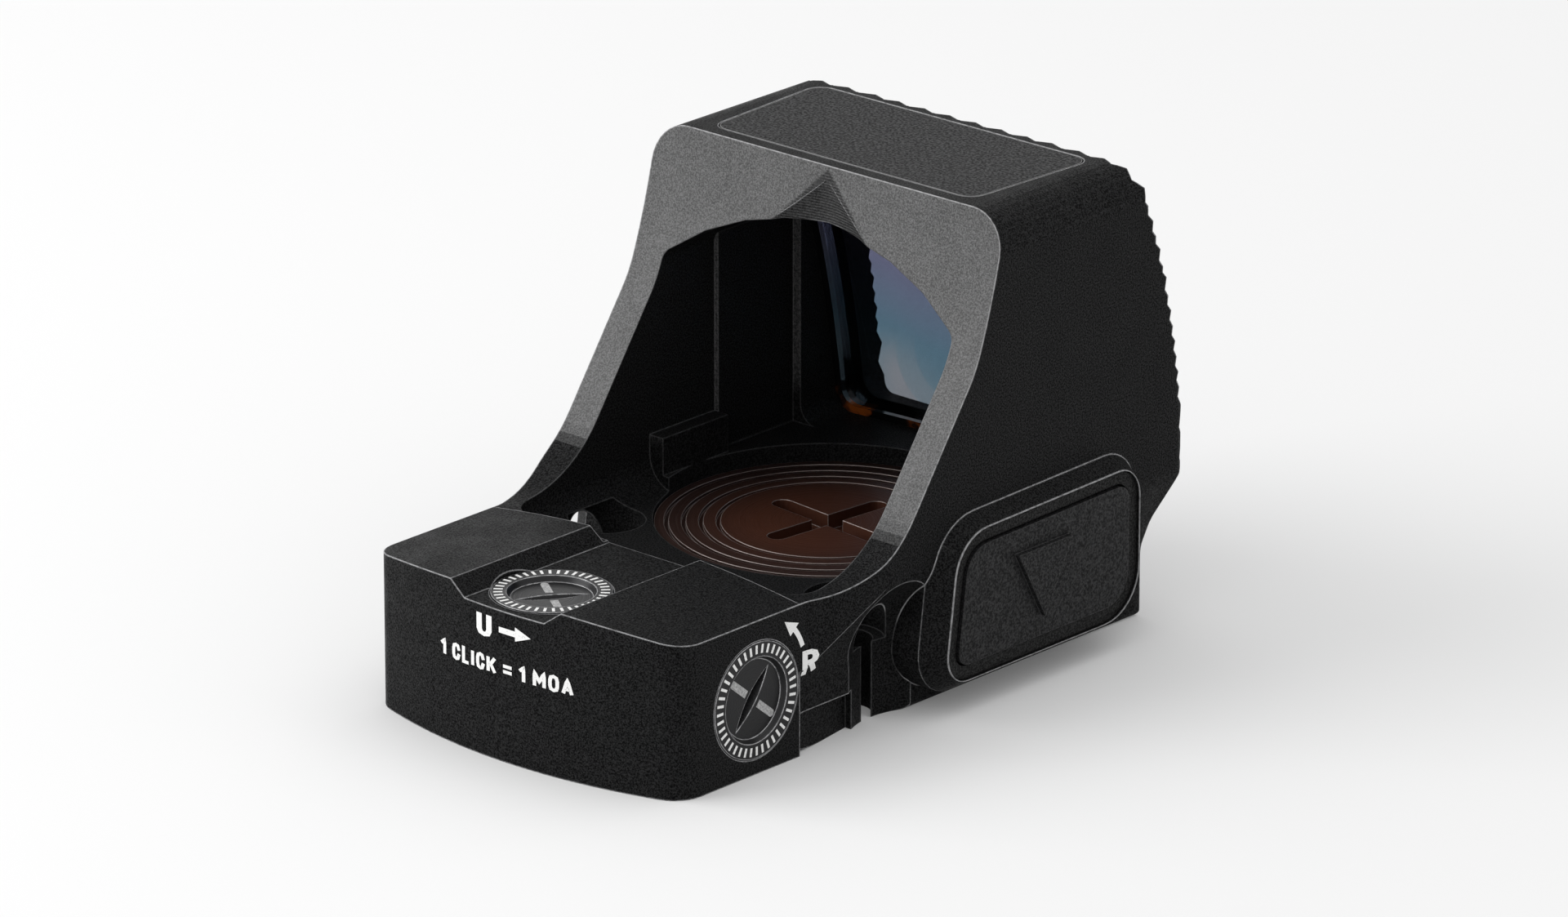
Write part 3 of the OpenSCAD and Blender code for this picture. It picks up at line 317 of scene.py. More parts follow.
def anodised_black(look):
    """Bead-blasted black anodising: fine pits, faint cloudiness and pale edge lines that are wear and
    painted highlight, with a painted highlight (paler colour and more gloss) on the rear-facing frame round
    the window and a cutter's ripples in the relief above it."""
    s = Shader("anodised_black")
    pits = s.noise(look.blast_grain, 3.0, 0.65)
    clouds = s.noise(2.2 * MM, 2.0, 0.5)
    worn = s.edge(look.worn_and_lit_edge, 0.004, 0.06)
    scuff = s.span(s.noise(0.35 * MM, 3.0, 0.7), 0.32, 0.6, 0.45, 1.0)
    split = s.node("SeparateXYZ", {"Vector": s.place})
    x, z = split.outputs["X"], split.outputs["Z"]
    # inside the hood the pale edge lines are dimmed to 0.12: less wear and painted shade
    between_walls = s.span(s.math("ABSOLUTE", x), INSIDE_X + INSIDE_BLUR, INSIDE_X)
    under_roof = s.span(z, INSIDE_Z + INSIDE_BLUR, INSIDE_Z)
    over_tray = s.span(split.outputs["Y"], INSIDE_Y, INSIDE_Y + INSIDE_BLUR)
    inside_hood_shade = s.math("MULTIPLY", between_walls, s.math("MULTIPLY", under_roof, over_tray))
    wear_and_highlight = s.math("MULTIPLY", s.math("MULTIPLY", worn, scuff), s.span(inside_hood_shade, 0.0, 1.0, 1.0, 0.12))
    speckle = s.span(pits, 0.36, 0.66, 0.35, 2.1)
    # steps left by the cutter in the relief above the window: ripples by height inside a triangle
    ripple = s.math("SINE", s.math("MULTIPLY", z, 2 * math.pi / CUTTER_STEP))
    flank = s.math("ADD", s.math("ABSOLUTE", x), z)
    relief = s.math("MULTIPLY", s.span(flank, RELIEF_FLANK, RELIEF_FLANK_END, 1.0, 0.0),
                    s.span(z, RELIEF_FOOT, RELIEF_FOOT_FULL))
    rings = s.math("MULTIPLY", ripple, relief)
    # painted highlight: the rear face of the frame round the window takes a paler colour, weaker in the
    # relief
    facing = s.node("SeparateXYZ", {"Vector": s.node("NewGeometry").outputs["Normal"]}).outputs["Y"]
    rear = s.math("MULTIPLY", s.span(facing, FRAME_FACING, FRAME_FACING_FULL),
                  s.span(z, FRAME_FOOT, FRAME_FULL))
    frame_highlight_zone = s.math("MULTIPLY", rear, s.span(relief, 0.0, 1.0, 1.0, 0.35))
    base = s.mix(frame_highlight_zone, rgba(look.anodising), rgba(look.frame_highlight_colour))
    tone = s.vector("MULTIPLY", base, speckle)
    # pale edge lines: worn anodising and painted highlight
    s.set(Base_Color=s.mix(wear_and_highlight, tone, rgba(look.worn)),
          Metallic=0.0, IOR=1.5)
    sheen = s.span(pits, 0.35, 0.68, 0.01, 0.07)
    # painted sheen: the frame's highlight zone also gets 0.42 more specular level
    s.set(Specular_IOR_Level=s.math("ADD", sheen, s.math("MULTIPLY", frame_highlight_zone, 0.42)),
          Roughness=s.span(clouds, 0.3, 0.7, 0.40, 0.50))
    soft = s.rounded(look.edge_round)
    ringed = s.bump(rings, 0.02 * MM, soft, 0.6)
    s.set(Normal=s.bump(pits, 0.028 * MM, ringed, 0.9))
    return s.material


def turned_cap(look):
    """Turned and anodised cap: a lathe's fine rings round the middle, warm dark tint, pale edges that are
    wear and painted highlight.
    """
    s = Shader("turned_cap")
    across = s.vector("SUBTRACT", s.place, tuple(CAP_CENTRE))
    flat = s.vector("MULTIPLY", across, (1.0, 1.0, 0.0))
    radius = s.vector("LENGTH", flat, (0, 0, 0), "Value")
    rings = s.node("TexNoise", {"Scale": 1.0, "Detail": 3.0, "W": s.math(
        "MULTIPLY", radius, 1 / (0.12 * MM))}, noise_dimensions="1D").outputs["Fac"]
    pits = s.noise(0.09 * MM, 3.0, 0.6)
    # pale edge lines: wear and painted highlight
    worn = s.edge(0.08 * MM)
    middle = s.span(radius, 3.5 * MM, 9.0 * MM, 1.0, 0.3)
    tone = s.mix(middle, (0.013, 0.0125, 0.013, 1.0), rgba(look.cap))
    s.set(Base_Color=s.mix(worn, tone, (0.42, 0.36, 0.34, 1.0)),
          Metallic=0.35, Roughness=s.span(rings, 0.3, 0.7, 0.30, 0.46))
    s.set(Normal=s.bump(pits, 0.01 * MM, s.bump(rings, 0.006 * MM, s.rounded(0.1 * MM)), 0.6))
    return s.material


def turned_steel(name, colour, axis, centre, roughness=0.34):
    """Black turned adjuster: rings round its axis, seen in gloss and height, with bright edges that are
    chipped finish and painted highlight.
    """
    s = Shader(name)
    across = s.vector("SUBTRACT", s.place, tuple(centre))
    keep = tuple(0.0 if i == axis else 1.0 for i in range(3))
    radius = s.vector("LENGTH", s.vector("MULTIPLY", across, keep), (0, 0, 0), "Value")
    rings = s.node("TexNoise", {"Scale": 1.0, "Detail": 3.0, "W": s.math(
        "MULTIPLY", radius, 1 / (0.08 * MM))}, noise_dimensions="1D").outputs["Fac"]
    pits = s.noise(0.08 * MM, 3.0, 0.6)
    worn = s.edge(0.1 * MM, 0.004, 0.06)
    # bright edge lines: chips and painted highlight
    chipped_and_lit = s.math("MULTIPLY", worn, s.span(s.noise(0.4 * MM), 0.3, 0.6, 0.35, 1.0))
    s.set(Base_Color=s.mix(chipped_and_lit, rgba(colour), (0.55, 0.55, 0.56, 1.0)),
          Metallic=0.6, Roughness=s.span(rings, 0.3, 0.7, roughness - 0.08, roughness + 0.08))
    s.set(Normal=s.bump(pits, 0.008 * MM, s.bump(rings, 0.006 * MM, s.rounded(0.06 * MM)), 0.6))
    return s.material


def moulded(name, colour, grain, roughness=0.55, worn=0.12, depth=0.016):
    """Moulded plastic or rubber: pebbled grain of two sizes, duller in the pits, paler edges that are wear
    and painted highlight.
    """
    s = Shader(name)
    pebble = s.node("TexVoronoi", {"Vector": s.place, "Scale": 1 / (grain * 1.6)}).outputs["Distance"]
    fine = s.noise(grain, 3.0, 0.6)
    both = s.math("MULTIPLY_ADD", fine, 0.6, s.math("MULTIPLY", pebble, 0.4))
    edge = s.edge(0.09 * MM)
    tone = s.vector("MULTIPLY", tuple(colour), s.span(fine, 0.35, 0.68, 0.65, 1.6))
    # paler edges by the worn factor: wear and painted highlight
    s.set(Base_Color=s.mix(s.math("MULTIPLY", edge, worn), tone, (0.5, 0.5, 0.5, 1.0)),
          Roughness=s.span(fine, 0.3, 0.7, roughness + 0.08, roughness - 0.08),
          Specular_IOR_Level=s.span(fine, 0.35, 0.68, 0.05, 0.25))
    s.set(Normal=s.bump(both, depth * MM, s.rounded(0.12 * MM), 0.8))
    return s.material


def coated_lens(look):
    """Polished glass with a reflective coating: tint runs from violet at the top to teal below."""
    s = Shader("coated_lens")
    split = s.node("SeparateXYZ", {"Vector": s.place})
    x, z = split.outputs["X"], split.outputs["Z"]
    height = s.span(z, LENS_LOW.z, LENS_HIGH.z, 0.0, 1.0, smooth=False)
    sway = s.math("MULTIPLY", s.math("SUBTRACT", s.noise(7 * MM, 1.0), 0.5), 0.3)
    drift = s.math("ADD", s.math("ADD", height, sway), s.math("MULTIPLY", x, 16.0), clamp=True)
    ramp = s.node("ValToRGB", {"Fac": drift})
    stops = ramp.color_ramp
    stops.elements[0].position, stops.elements[0].color = 0.08, (0.14, 0.20, 0.23, 1.0)
    stops.elements[1].position, stops.elements[1].color = 0.62, rgba(look.coating_top)
    for position, colour in ((0.24, look.coating_low), (0.42, (0.125, 0.16, 0.22))):
        stops.elements.new(position).color = rgba(colour)
    # painted reflection: a pale patch low on the left, with a round edge
    away = s.vector("LENGTH", s.vector("SUBTRACT", s.place, PAINTED_REFLECTION_AT), (0, 0, 0), "Value")
    fade = s.math("MULTIPLY", s.span(z, PAINTED_REFLECTION_TOP, PAINTED_REFLECTION_TOP_FULL), s.span(x, PAINTED_REFLECTION_LEFT, PAINTED_REFLECTION_LEFT_FULL))
    painted_reflection = s.math("MULTIPLY", s.span(away, PAINTED_REFLECTION_RADIUS, PAINTED_REFLECTION_RADIUS + PAINTED_REFLECTION_BLUR), fade)
    tint = s.mix(s.math("MULTIPLY", painted_reflection, 0.75), ramp.outputs["Color"], (0.25, 0.245, 0.25, 1.0))
    s.set(Base_Color=tint, Roughness=0.03, IOR=1.5, Coat_Weight=0.25,
          Coat_Roughness=0.02, Coat_IOR=1.7, Coat_Tint=(0.85, 0.88, 1.0, 1.0), Transmission_Weight=1.0)
    s.set(Normal=s.bump(s.noise(1.5 * MM, 2.0), 0.0008 * MM, None, 0.3))
    return s.material


def glass(name, tint, roughness=0.02):
    """Polished glass with faint swirl marks."""
    s = Shader(name)
    s.set(Base_Color=rgba(tint), Transmission_Weight=1.0,
          Roughness=s.span(s.noise(0.6 * MM), 0.3, 0.7, roughness, roughness * 3))
    return s.material


def glossy_bead(look):
    """Cured black adhesive: wet gloss over slow waves, with painted amber glints low on the lens."""
    s = Shader("glossy_bead")
    waves = s.noise(1.1 * MM, 2.0)
    # painted glints: amber in patches along the lens's low edge
    split = s.node("SeparateXYZ", {"Vector": s.place})
    low = s.span(split.outputs["Z"], LENS_LOW.z + 1.6 * MM, LENS_LOW.z + 0.6 * MM)
    warm = s.math("MULTIPLY", low, s.span(s.noise(1.6 * MM, 2.0), 0.5, 0.64))
    s.set(Base_Color=s.mix(warm, (0.004, 0.004, 0.0045, 1.0), rgba(look.amber)),
          Roughness=0.09, Coat_Weight=0.8, Coat_Roughness=0.04,
          Normal=s.bump(waves, 0.12 * MM, None, 0.8))
    return s.material


def bright_metal(name, colour, roughness, grain, brushed=None):
    """Bare metal: brushed or satin grain in gloss and height, dulled by slow patches."""
    s = Shader(name)
    place = s.place
    if brushed:
        place = s.vector("MULTIPLY", s.place, brushed)
    fine = s.noise(grain, 4.0, 0.6, place)
    patch = s.noise(1.8 * MM, 2.0)
    s.set(Base_Color=s.mix(s.span(patch, 0.35, 0.7), rgba(colour), rgba([c * 0.72 for c in colour])),
          Metallic=1.0, Roughness=s.span(fine, 0.3, 0.7, roughness - 0.06, roughness + 0.1),
          Normal=s.bump(fine, 0.006 * MM, s.rounded(0.06 * MM, 4), 0.6))
    return s.material


def solder_mask(name, colour):
    """Circuit board: glossy mask over copper tracks that lie in two crossing sets."""
    s = Shader(name)
    split = s.node("SeparateXYZ", {"Vector": s.place})
    lanes = s.math("PINGPONG", split.outputs["X"], 0.55 * MM)
    steps = s.math("PINGPONG", split.outputs["Y"], 0.9 * MM)
    track = s.math("MAXIMUM", s.span(lanes, 0.40 * MM, 0.44 * MM), s.span(steps, 0.76 * MM, 0.80 * MM))
    s.set(Base_Color=s.mix(track, rgba(colour), rgba([c * 1.9 for c in colour])),
          Roughness=0.3, Normal=s.bump(track, 0.02 * MM, None, 0.7))
    return s.material


def print_paint(look):
    """Screen-printed paint: chalky, with pinholes where the blasted surface shows through."""
    s = Shader("print_paint")
    holes = s.span(s.noise(0.11 * MM, 3.0, 0.7), 0.30, 0.40)
    tone = s.mix(holes, (0.35, 0.35, 0.35, 1.0), rgba(look.paint))
    s.set(Base_Color=tone, Roughness=0.7, Normal=s.bump(s.noise(0.1 * MM), 0.008 * MM, None, 0.5))
    return s.material


def bar_paint():
    """Grey index paint laid in the dished face, patchier than the print."""
    s = Shader("index_paint")
    patch = s.span(s.noise(0.14 * MM, 3.0, 0.6), 0.3, 0.7)
    s.set(Base_Color=s.mix(patch, (0.24, 0.24, 0.24, 1.0), (0.5, 0.5, 0.5, 1.0)),
          Roughness=0.6, Normal=s.bump(patch, 0.01 * MM, None, 0.5))
    return s.material


# ---------------------------------------------------------------- meshes

def piece_from(name, points, faces, material, body, slot):
    """A new piece from vertices in metres and faces that turn outwards."""
    mesh = bpy.data.meshes.new(name)
    mesh.from_pydata(points.tolist(), [], faces)
    mesh.validate()
    mesh.update()
    mesh.materials.append(material)
    obj = bpy.data.objects.new(name, mesh)
    bpy.context.scene.collection.objects.link(obj)
    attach(obj, body)
    return obj


def prism_faces(count, sides):
    """Faces of count closed prisms, each of 2 x sides vertices: bottom ring first, then top ring."""
    faces = []
    ring = np.arange(sides)
    for start in np.arange(count) * 2 * sides:
        faces.append((start + ring[::-1]).tolist())
        faces.append((start + sides + ring).tolist())
        following = np.roll(ring, -1)
        faces += np.stack([start + ring, start + following, start + sides + following,
                           start + sides + ring], 1).tolist()
    return faces


def plates(outlines, low, high):
    """Flat plates: each outline (n, 2), turning left, is carried from height low to height high."""
    count, sides = outlines.shape[:2]
    bottom = np.concatenate([outlines, np.full((count, sides, 1), low)], 2)
    top = np.concatenate([outlines, np.full((count, sides, 1), high)], 2)
    return np.concatenate([bottom, top], 1).reshape(-1, 3), prism_faces(count, sides)


def on_axis(points, axis, centre):
    """Turns points drawn round +Z to stand on an adjuster's axis at its face."""
    if axis == 2:
        return points + np.array(centre)
    turned = np.stack([points[:, 2], points[:, 1], -points[:, 0]], 1)
    return turned + np.array(centre)


def tick_outlines(count, inner, outer, width):
    """Lines of a scale: a rectangle from radius inner to outer, turned by each multiple of 1/count."""
    angle = np.arange(count) * 2 * np.pi / count
    corner = np.array([[inner, -width / 2], [outer, -width / 2], [outer, width / 2], [inner, width / 2]])
    turn = np.stack([np.stack([np.cos(angle), -np.sin(angle)], 1),
                     np.stack([np.sin(angle), np.cos(angle)], 1)], 1)
    return np.einsum("nij,kj->nki", turn, corner)


def bar_outlines(inner, outer, width, turn, steps=8):
    """Two halves of an index bar: each runs out along the line at angle turn and ends in a half circle."""
    swing = np.linspace(-np.pi / 2, np.pi / 2, steps)
    cap = np.stack([outer - width / 2 + width / 2 * np.cos(swing), width / 2 * np.sin(swing)], 1)
    half = np.concatenate([[[inner, -width / 2]], cap, [[inner, width / 2]]])
    both = []
    for angle in (turn, turn + np.pi):
        c, s = np.cos(angle), np.sin(angle)
        both.append(half @ np.array([[c, s], [-s, c]]))
    return np.array(both)


# Centre lines of the capitals: breadth, then lines whose x and y run from 0 to 1
GLYPHS = {
    "U": (0.54, [[(0, 1), (0, 0.25), (0.15, 0.06), (0.5, 0), (0.85, 0.06), (1, 0.25), (1, 1)]]),
    "R": (0.56, [[(0, 0), (0, 1), (0.6, 1), (0.9, 0.93), (1, 0.76), (0.9, 0.58), (0.6, 0.5), (0.3, 0.5)],
                 [(0.6, 0.4), (0.95, 0.08)]]),
    "C": (0.52, [[(1, 0.74), (0.85, 0.95), (0.5, 1), (0.12, 0.92), (0, 0.7), (0, 0.3), (0.12, 0.08),
                  (0.5, 0), (0.85, 0.05), (1, 0.26)]]),
    "L": (0.46, [[(0, 1), (0, 0), (0.85, 0)]]),
    "I": (0.19, [[(0, 0.1), (0, 0.9)]]),
    "K": (0.58, [[(0, 0.1), (0, 0.9)], [(0.9, 0.92), (0.34, 0.5)], [(0.45, 0.5), (0.92, 0.08)]]),
    "=": (0.5, [[(0, 0.3), (1, 0.3)], [(0, 0.7), (1, 0.7)]]),
    "1": (0.36, [[(0.1, 0.8), (1, 1), (1, 0.1)]]),
    "M": (0.72, [[(0, 0.1), (0, 1), (0.5, 0.32), (1, 1), (1, 0.1)]]),
    "O": (0.58, [[(0.5, 0), (0.88, 0.08), (1, 0.32), (1, 0.68), (0.88, 0.92), (0.5, 1), (0.12, 0.92),
                  (0, 0.68), (0, 0.32), (0.12, 0.08), (0.5, 0)]]),
    "A": (0.62, [[(0.04, 0.1), (0.5, 1), (0.96, 0.1)], [(0.36, 0.3), (0.64, 0.3)]]),
}
LINE = 0.19
LETTER_GAP = 0.13
WORD_GAP = 0.42


def stroke(line):
    """Both edges of a line of constant width: each point moves sideways by half the width along
    the sum of its two side vectors over 1 + their product, at most 1.5 half widths."""
    line = np.array(line, float)
    closed = np.allclose(line[0], line[-1])
    run = np.diff(line, axis=0)
    run /= np.linalg.norm(run, axis=1)[:, None]
    before, after = np.vstack([run[-1 if closed else 0], run]), np.vstack([run, run[0 if closed else -1]])
    if not closed:
        line[0] -= run[0] * LINE / 2
        line[-1] += run[-1] * LINE / 2
    side_a = np.stack([-before[:, 1], before[:, 0]], 1)
    side_b = np.stack([-after[:, 1], after[:, 0]], 1)
    mitre = (side_a + side_b) / (1 + (side_a * side_b).sum(1) + 1e-9)[:, None]
    length = np.linalg.norm(mitre, axis=1)
    mitre *= (np.minimum(length, 1.5) / length * LINE / 2)[:, None]
    if closed:
        line, mitre = line[:-1], mitre[:-1]
    count = len(line)
    first = np.arange(count if closed else count - 1)
    then = (first + 1) % count
    faces = np.stack([first, first + count, then + count, then], 1)
    return np.concatenate([line + mitre, line - mitre]), faces


def halved(line):
    """The same line with a point added at the middle of each part."""
    return np.vstack([np.stack([line[:-1], (line[:-1] + line[1:]) / 2], 1).reshape(-1, 2), line[-1:]])


def letters(text, height, width=None):
    """Text as flat polygons: vertices (n, 2) from the lower left corner, and its four-sided faces.
    Each line of a letter is scaled to the letter's breadth and set a gap past the letter before."""
    points, faces, x, count = [], [], 0.0, 0
    for letter in text:
        if letter == " ":
            x += WORD_GAP - LETTER_GAP
            continue
        breadth, lines = GLYPHS[letter]
        for line in lines:
            line = halved(halved(np.array(line))) * (breadth - LINE, 1 - LINE) + (x + LINE / 2, LINE / 2)
            corners, quads = stroke(line)
            points.append(corners)
            faces.append(quads + count)
            count += len(corners)
        x += breadth + LETTER_GAP
    wide = height if width is None else width / (x - LETTER_GAP)
    return np.concatenate(points) * (wide, height), np.concatenate(faces)


def arrow_outline(tail, tip, shaft, head, head_length, bend=0.0, steps=10):
    """An arrow from tail to tip whose middle bows aside by bend times 4t(1-t): half-width shaft,
    then a head that narrows from half-width head to the tip."""
    tail, tip = np.array(tail, float), np.array(tip, float)
    length = np.linalg.norm(tip - tail)
    along = (tip - tail) / length
    side = np.array([-along[1], along[0]])
    neck = 1 - head_length / length
    t = np.linspace(0, neck, steps)

    def middle(u):
        return tail + np.outer(u, tip - tail) + np.outer(4 * u * (1 - u) * bend, side)

    line = middle(t)
    slope = along + side * (4 * (1 - 2 * t[:, None]) * bend / length)
    slope /= np.linalg.norm(slope, axis=1)[:, None]
    normal = np.stack([-slope[:, 1], slope[:, 0]], 1)
    right = line - normal * shaft
    left = line + normal * shaft
    barb = [line[-1] - normal[-1] * head, middle(np.array([1.0]))[0], line[-1] + normal[-1] * head]
    return np.concatenate([right, barb, left[::-1]])


def wrap_print(points, faces, surface, film):
    """Carries a flat print onto a surface: surface(u, v, h) places a point u across, v up and h
    off it. The print has a back at 0.3 of the film and a front at the whole film, and a wall stands
    on each edge that only one face has, so each letter is closed."""
    count = len(points)
    low = surface(points[:, 0], points[:, 1], np.full(count, 0.3 * film))
    high = surface(points[:, 0], points[:, 1], np.full(count, film))
    start, end = faces.ravel(), np.roll(faces, -1, axis=1).ravel()
    rim = ~np.isin(start * count + end, end * count + start)
    start, end = start[rim], end[rim]
    walls = np.stack([start, end, end + count, start + count], 1)
    shell = faces[:, ::-1].tolist() + (faces + count).tolist() + walls.tolist()
    return np.concatenate([low, high]), shell


def rear_face(u, v, h):
    """The bowed rear of the block: it falls forward by R - sqrt(R^2 - u^2) from its middle."""
    return np.stack([u, REAR_APEX_Y + REAR_BOW - np.sqrt(REAR_BOW ** 2 - u ** 2) - h, v], 1)


def right_face(u, v, h):
    """The right side of the block: flat, then bending out by 0.143 per mm times the square of the
    distance past the bend, but no further than the slope that rises from the body below it."""
    past = np.clip(u - REAR_APEX_Y - BEND_Y, 0, None)
    bend = SIDE_X + BEND_RATE * past ** 2
    slope = SLOPE_X + SLOPE_LEAN * (v - SLOPE_FOOT)
    side = np.where(u > REAR_APEX_Y + SLOPE_Y, np.minimum(bend, slope), SIDE_X)
    return np.stack([side + h, u, v], 1)


# ---------------------------------------------------------------- operators

class SIGHT_OT_finish_metal(bpy.types.Operator):
    """Gives the housing, battery cap and adjusters their metal finishes"""
    bl_idname = "sight.finish_metal"
    bl_label = "Finish metal parts"

    def execute(self, context):
        look = context.scene.sight_finish
        give(anodised_black(look), "housing")
        give(turned_cap(look), "battery_cap")
        give(turned_steel("elevation_steel", look.adjuster, 2, ELEVATION_FACE), "elevation_dial")
        give(turned_steel("windage_steel", look.adjuster, 0, WINDAGE_FACE), "windage_dial")
        return {"FINISHED"}


class SIGHT_OT_finish_polymer(bpy.types.Operator):
    """Gives the insert, buttons, button frames, base cover and seals their moulded grain"""
    bl_idname = "sight.finish_polymer"
    bl_label = "Finish moulded parts"

    def execute(self, context):
        look = context.scene.sight_finish
        # the insert's strong pale rim line is a painted highlight
        give(moulded("insert_polymer", look.polymer, look.mould_grain, worn=0.75), "top_insert")
        give(moulded("button_polymer", look.polymer, look.mould_grain * 0.8, 0.5, 0.06),
             "button_up", "button_down")
        give(moulded("cover_polymer", look.polymer, look.mould_grain, 0.6, 0.05), "base_cover")
        give(moulded("frame_rubber", look.rubber, look.mould_grain * 0.7, 0.62, 0.03),
             "button_frame_left", "button_frame_right")
        give(moulded("seal_rubber", (0.012, 0.012, 0.012), look.mould_grain * 0.5, 0.5, 0.02, 0.006),
             "cap_seal", "elevation_seal", "windage_seal")
        return {"FINISHED"}


class SIGHT_OT_finish_optics(bpy.types.Operator):
    """Gives the lens its coating, the bead its gloss, and the window and diode their clear finish"""
    bl_idname = "sight.finish_optics"
    bl_label = "Finish optics"

    def execute(self, context):
        look = context.scene.sight_finish
        give(coated_lens(look), "lens")
        give(glossy_bead(look), "lens_bond")
        give(glass("window_glass", (0.75, 0.83, 0.88)), "emitter_window")
        give(glass("diode_resin", (0.85, 0.8, 0.6), 0.1), "emitter_diode")
        return {"FINISHED"}


class SIGHT_OT_finish_works(bpy.types.Operator):
    """Gives the parts inside the housing their metals and board finish"""
    bl_idname = "sight.finish_works"
    bl_label = "Finish inner works"

    def execute(self, context):
        give(bright_metal("cell_nickel", (0.62, 0.61, 0.58), 0.28, 0.25 * MM, (1.0, 6.0, 1.0)), "coin_cell")
        give(bright_metal("spring_bronze", (0.62, 0.42, 0.2), 0.3, 0.2 * MM), "cell_spring", "cell_contact")
        give(bright_metal("machined_brass", (0.62, 0.45, 0.2), 0.26, 0.16 * MM, (1.0, 1.0, 5.0)),
             "elevation_carriage", "windage_carriage")
        give(bright_metal("spring_steel", (0.46, 0.46, 0.47), 0.3, 0.15 * MM),
             "elevation_clip", "windage_clip", "elevation_detent", "windage_detent",
             "elevation_spring", "windage_spring", "switch_left", "switch_right")
        give(bright_metal("screw_steel", (0.09, 0.09, 0.095), 0.36, 0.1 * MM), "cover_screws")
        give(solder_mask("board_mask", (0.012, 0.06, 0.03)), "main_board", "emitter_board")
        return {"FINISHED"}


class SIGHT_OT_print_marks(bpy.types.Operator):
    """Prints the direction letters, arrows and click legend on the rear and right faces"""
    bl_idname = "sight.print_marks"
    bl_label = "Print marks"

    def execute(self, context):
        look, sizes = context.scene.sight_finish, context.scene.sight_marks
        paint = print_paint(look)
        up = arrow_outline(*UP_ARROW, *UP_ARROW_SHAPE)
        right = arrow_outline(*RIGHT_ARROW, *RIGHT_ARROW_SHAPE)
        for name, drawing, corner, surface in (
                ("mark_u", letters("U", sizes.letter_u, U_WIDTH), U_AT, rear_face),
                ("mark_click", letters("1 CLICK = 1 MOA", sizes.legend, sizes.legend_width),
                 LEGEND_AT, rear_face),
                ("mark_up_arrow", (up, np.arange(len(up))[None]), (0, 0), rear_face),
                ("mark_r", letters("R", sizes.letter_r, R_WIDTH), R_AT, right_face),
                ("mark_right_arrow", (right, np.arange(len(right))[None]), (0, 0), right_face)):
            points, faces = drawing
            shell = wrap_print(points + np.array(corner), faces, surface, sizes.film)
            piece_from(name, *shell, paint, "chassis", "anodised_aluminium")
        return {"FINISHED"}


class SIGHT_OT_adjuster_scales(bpy.types.Operator):
    """Adds the painted scale and index bar to each adjuster"""
    bl_idname = "sight.adjuster_scales"
    bl_label = "Adjuster scales"

    def execute(self, context):
        look, sizes = context.scene.sight_finish, context.scene.sight_marks
        paint, grey = print_paint(look), bar_paint()
        film = sizes.film
        inner, outer = DIAL_RADIUS - LINE_START_GAP, DIAL_RADIUS - LINE_END_GAP
        for name, body, axis, centre, turn in (
                ("elevation", "elevation_screw", 2, ELEVATION_FACE, math.radians(ELEVATION_SLOT + 90)),
                ("windage", "windage_screw", 0, WINDAGE_FACE, math.radians(WINDAGE_SLOT + 90))):
            points, faces = plates(tick_outlines(sizes.ticks, inner, outer, sizes.tick_width),
                                   0.0, film)
            piece_from(name + "_scale", on_axis(points, axis, centre), faces, paint, body, "adjuster_black")
            points, faces = plates(bar_outlines(BAR_START, BAR_END, sizes.bar_width, turn),
                                   -DISH, -DISH + film)
            piece_from(name + "_index", on_axis(points, axis, centre), faces, grey, body, "adjuster_black")
        return {"FINISHED"}


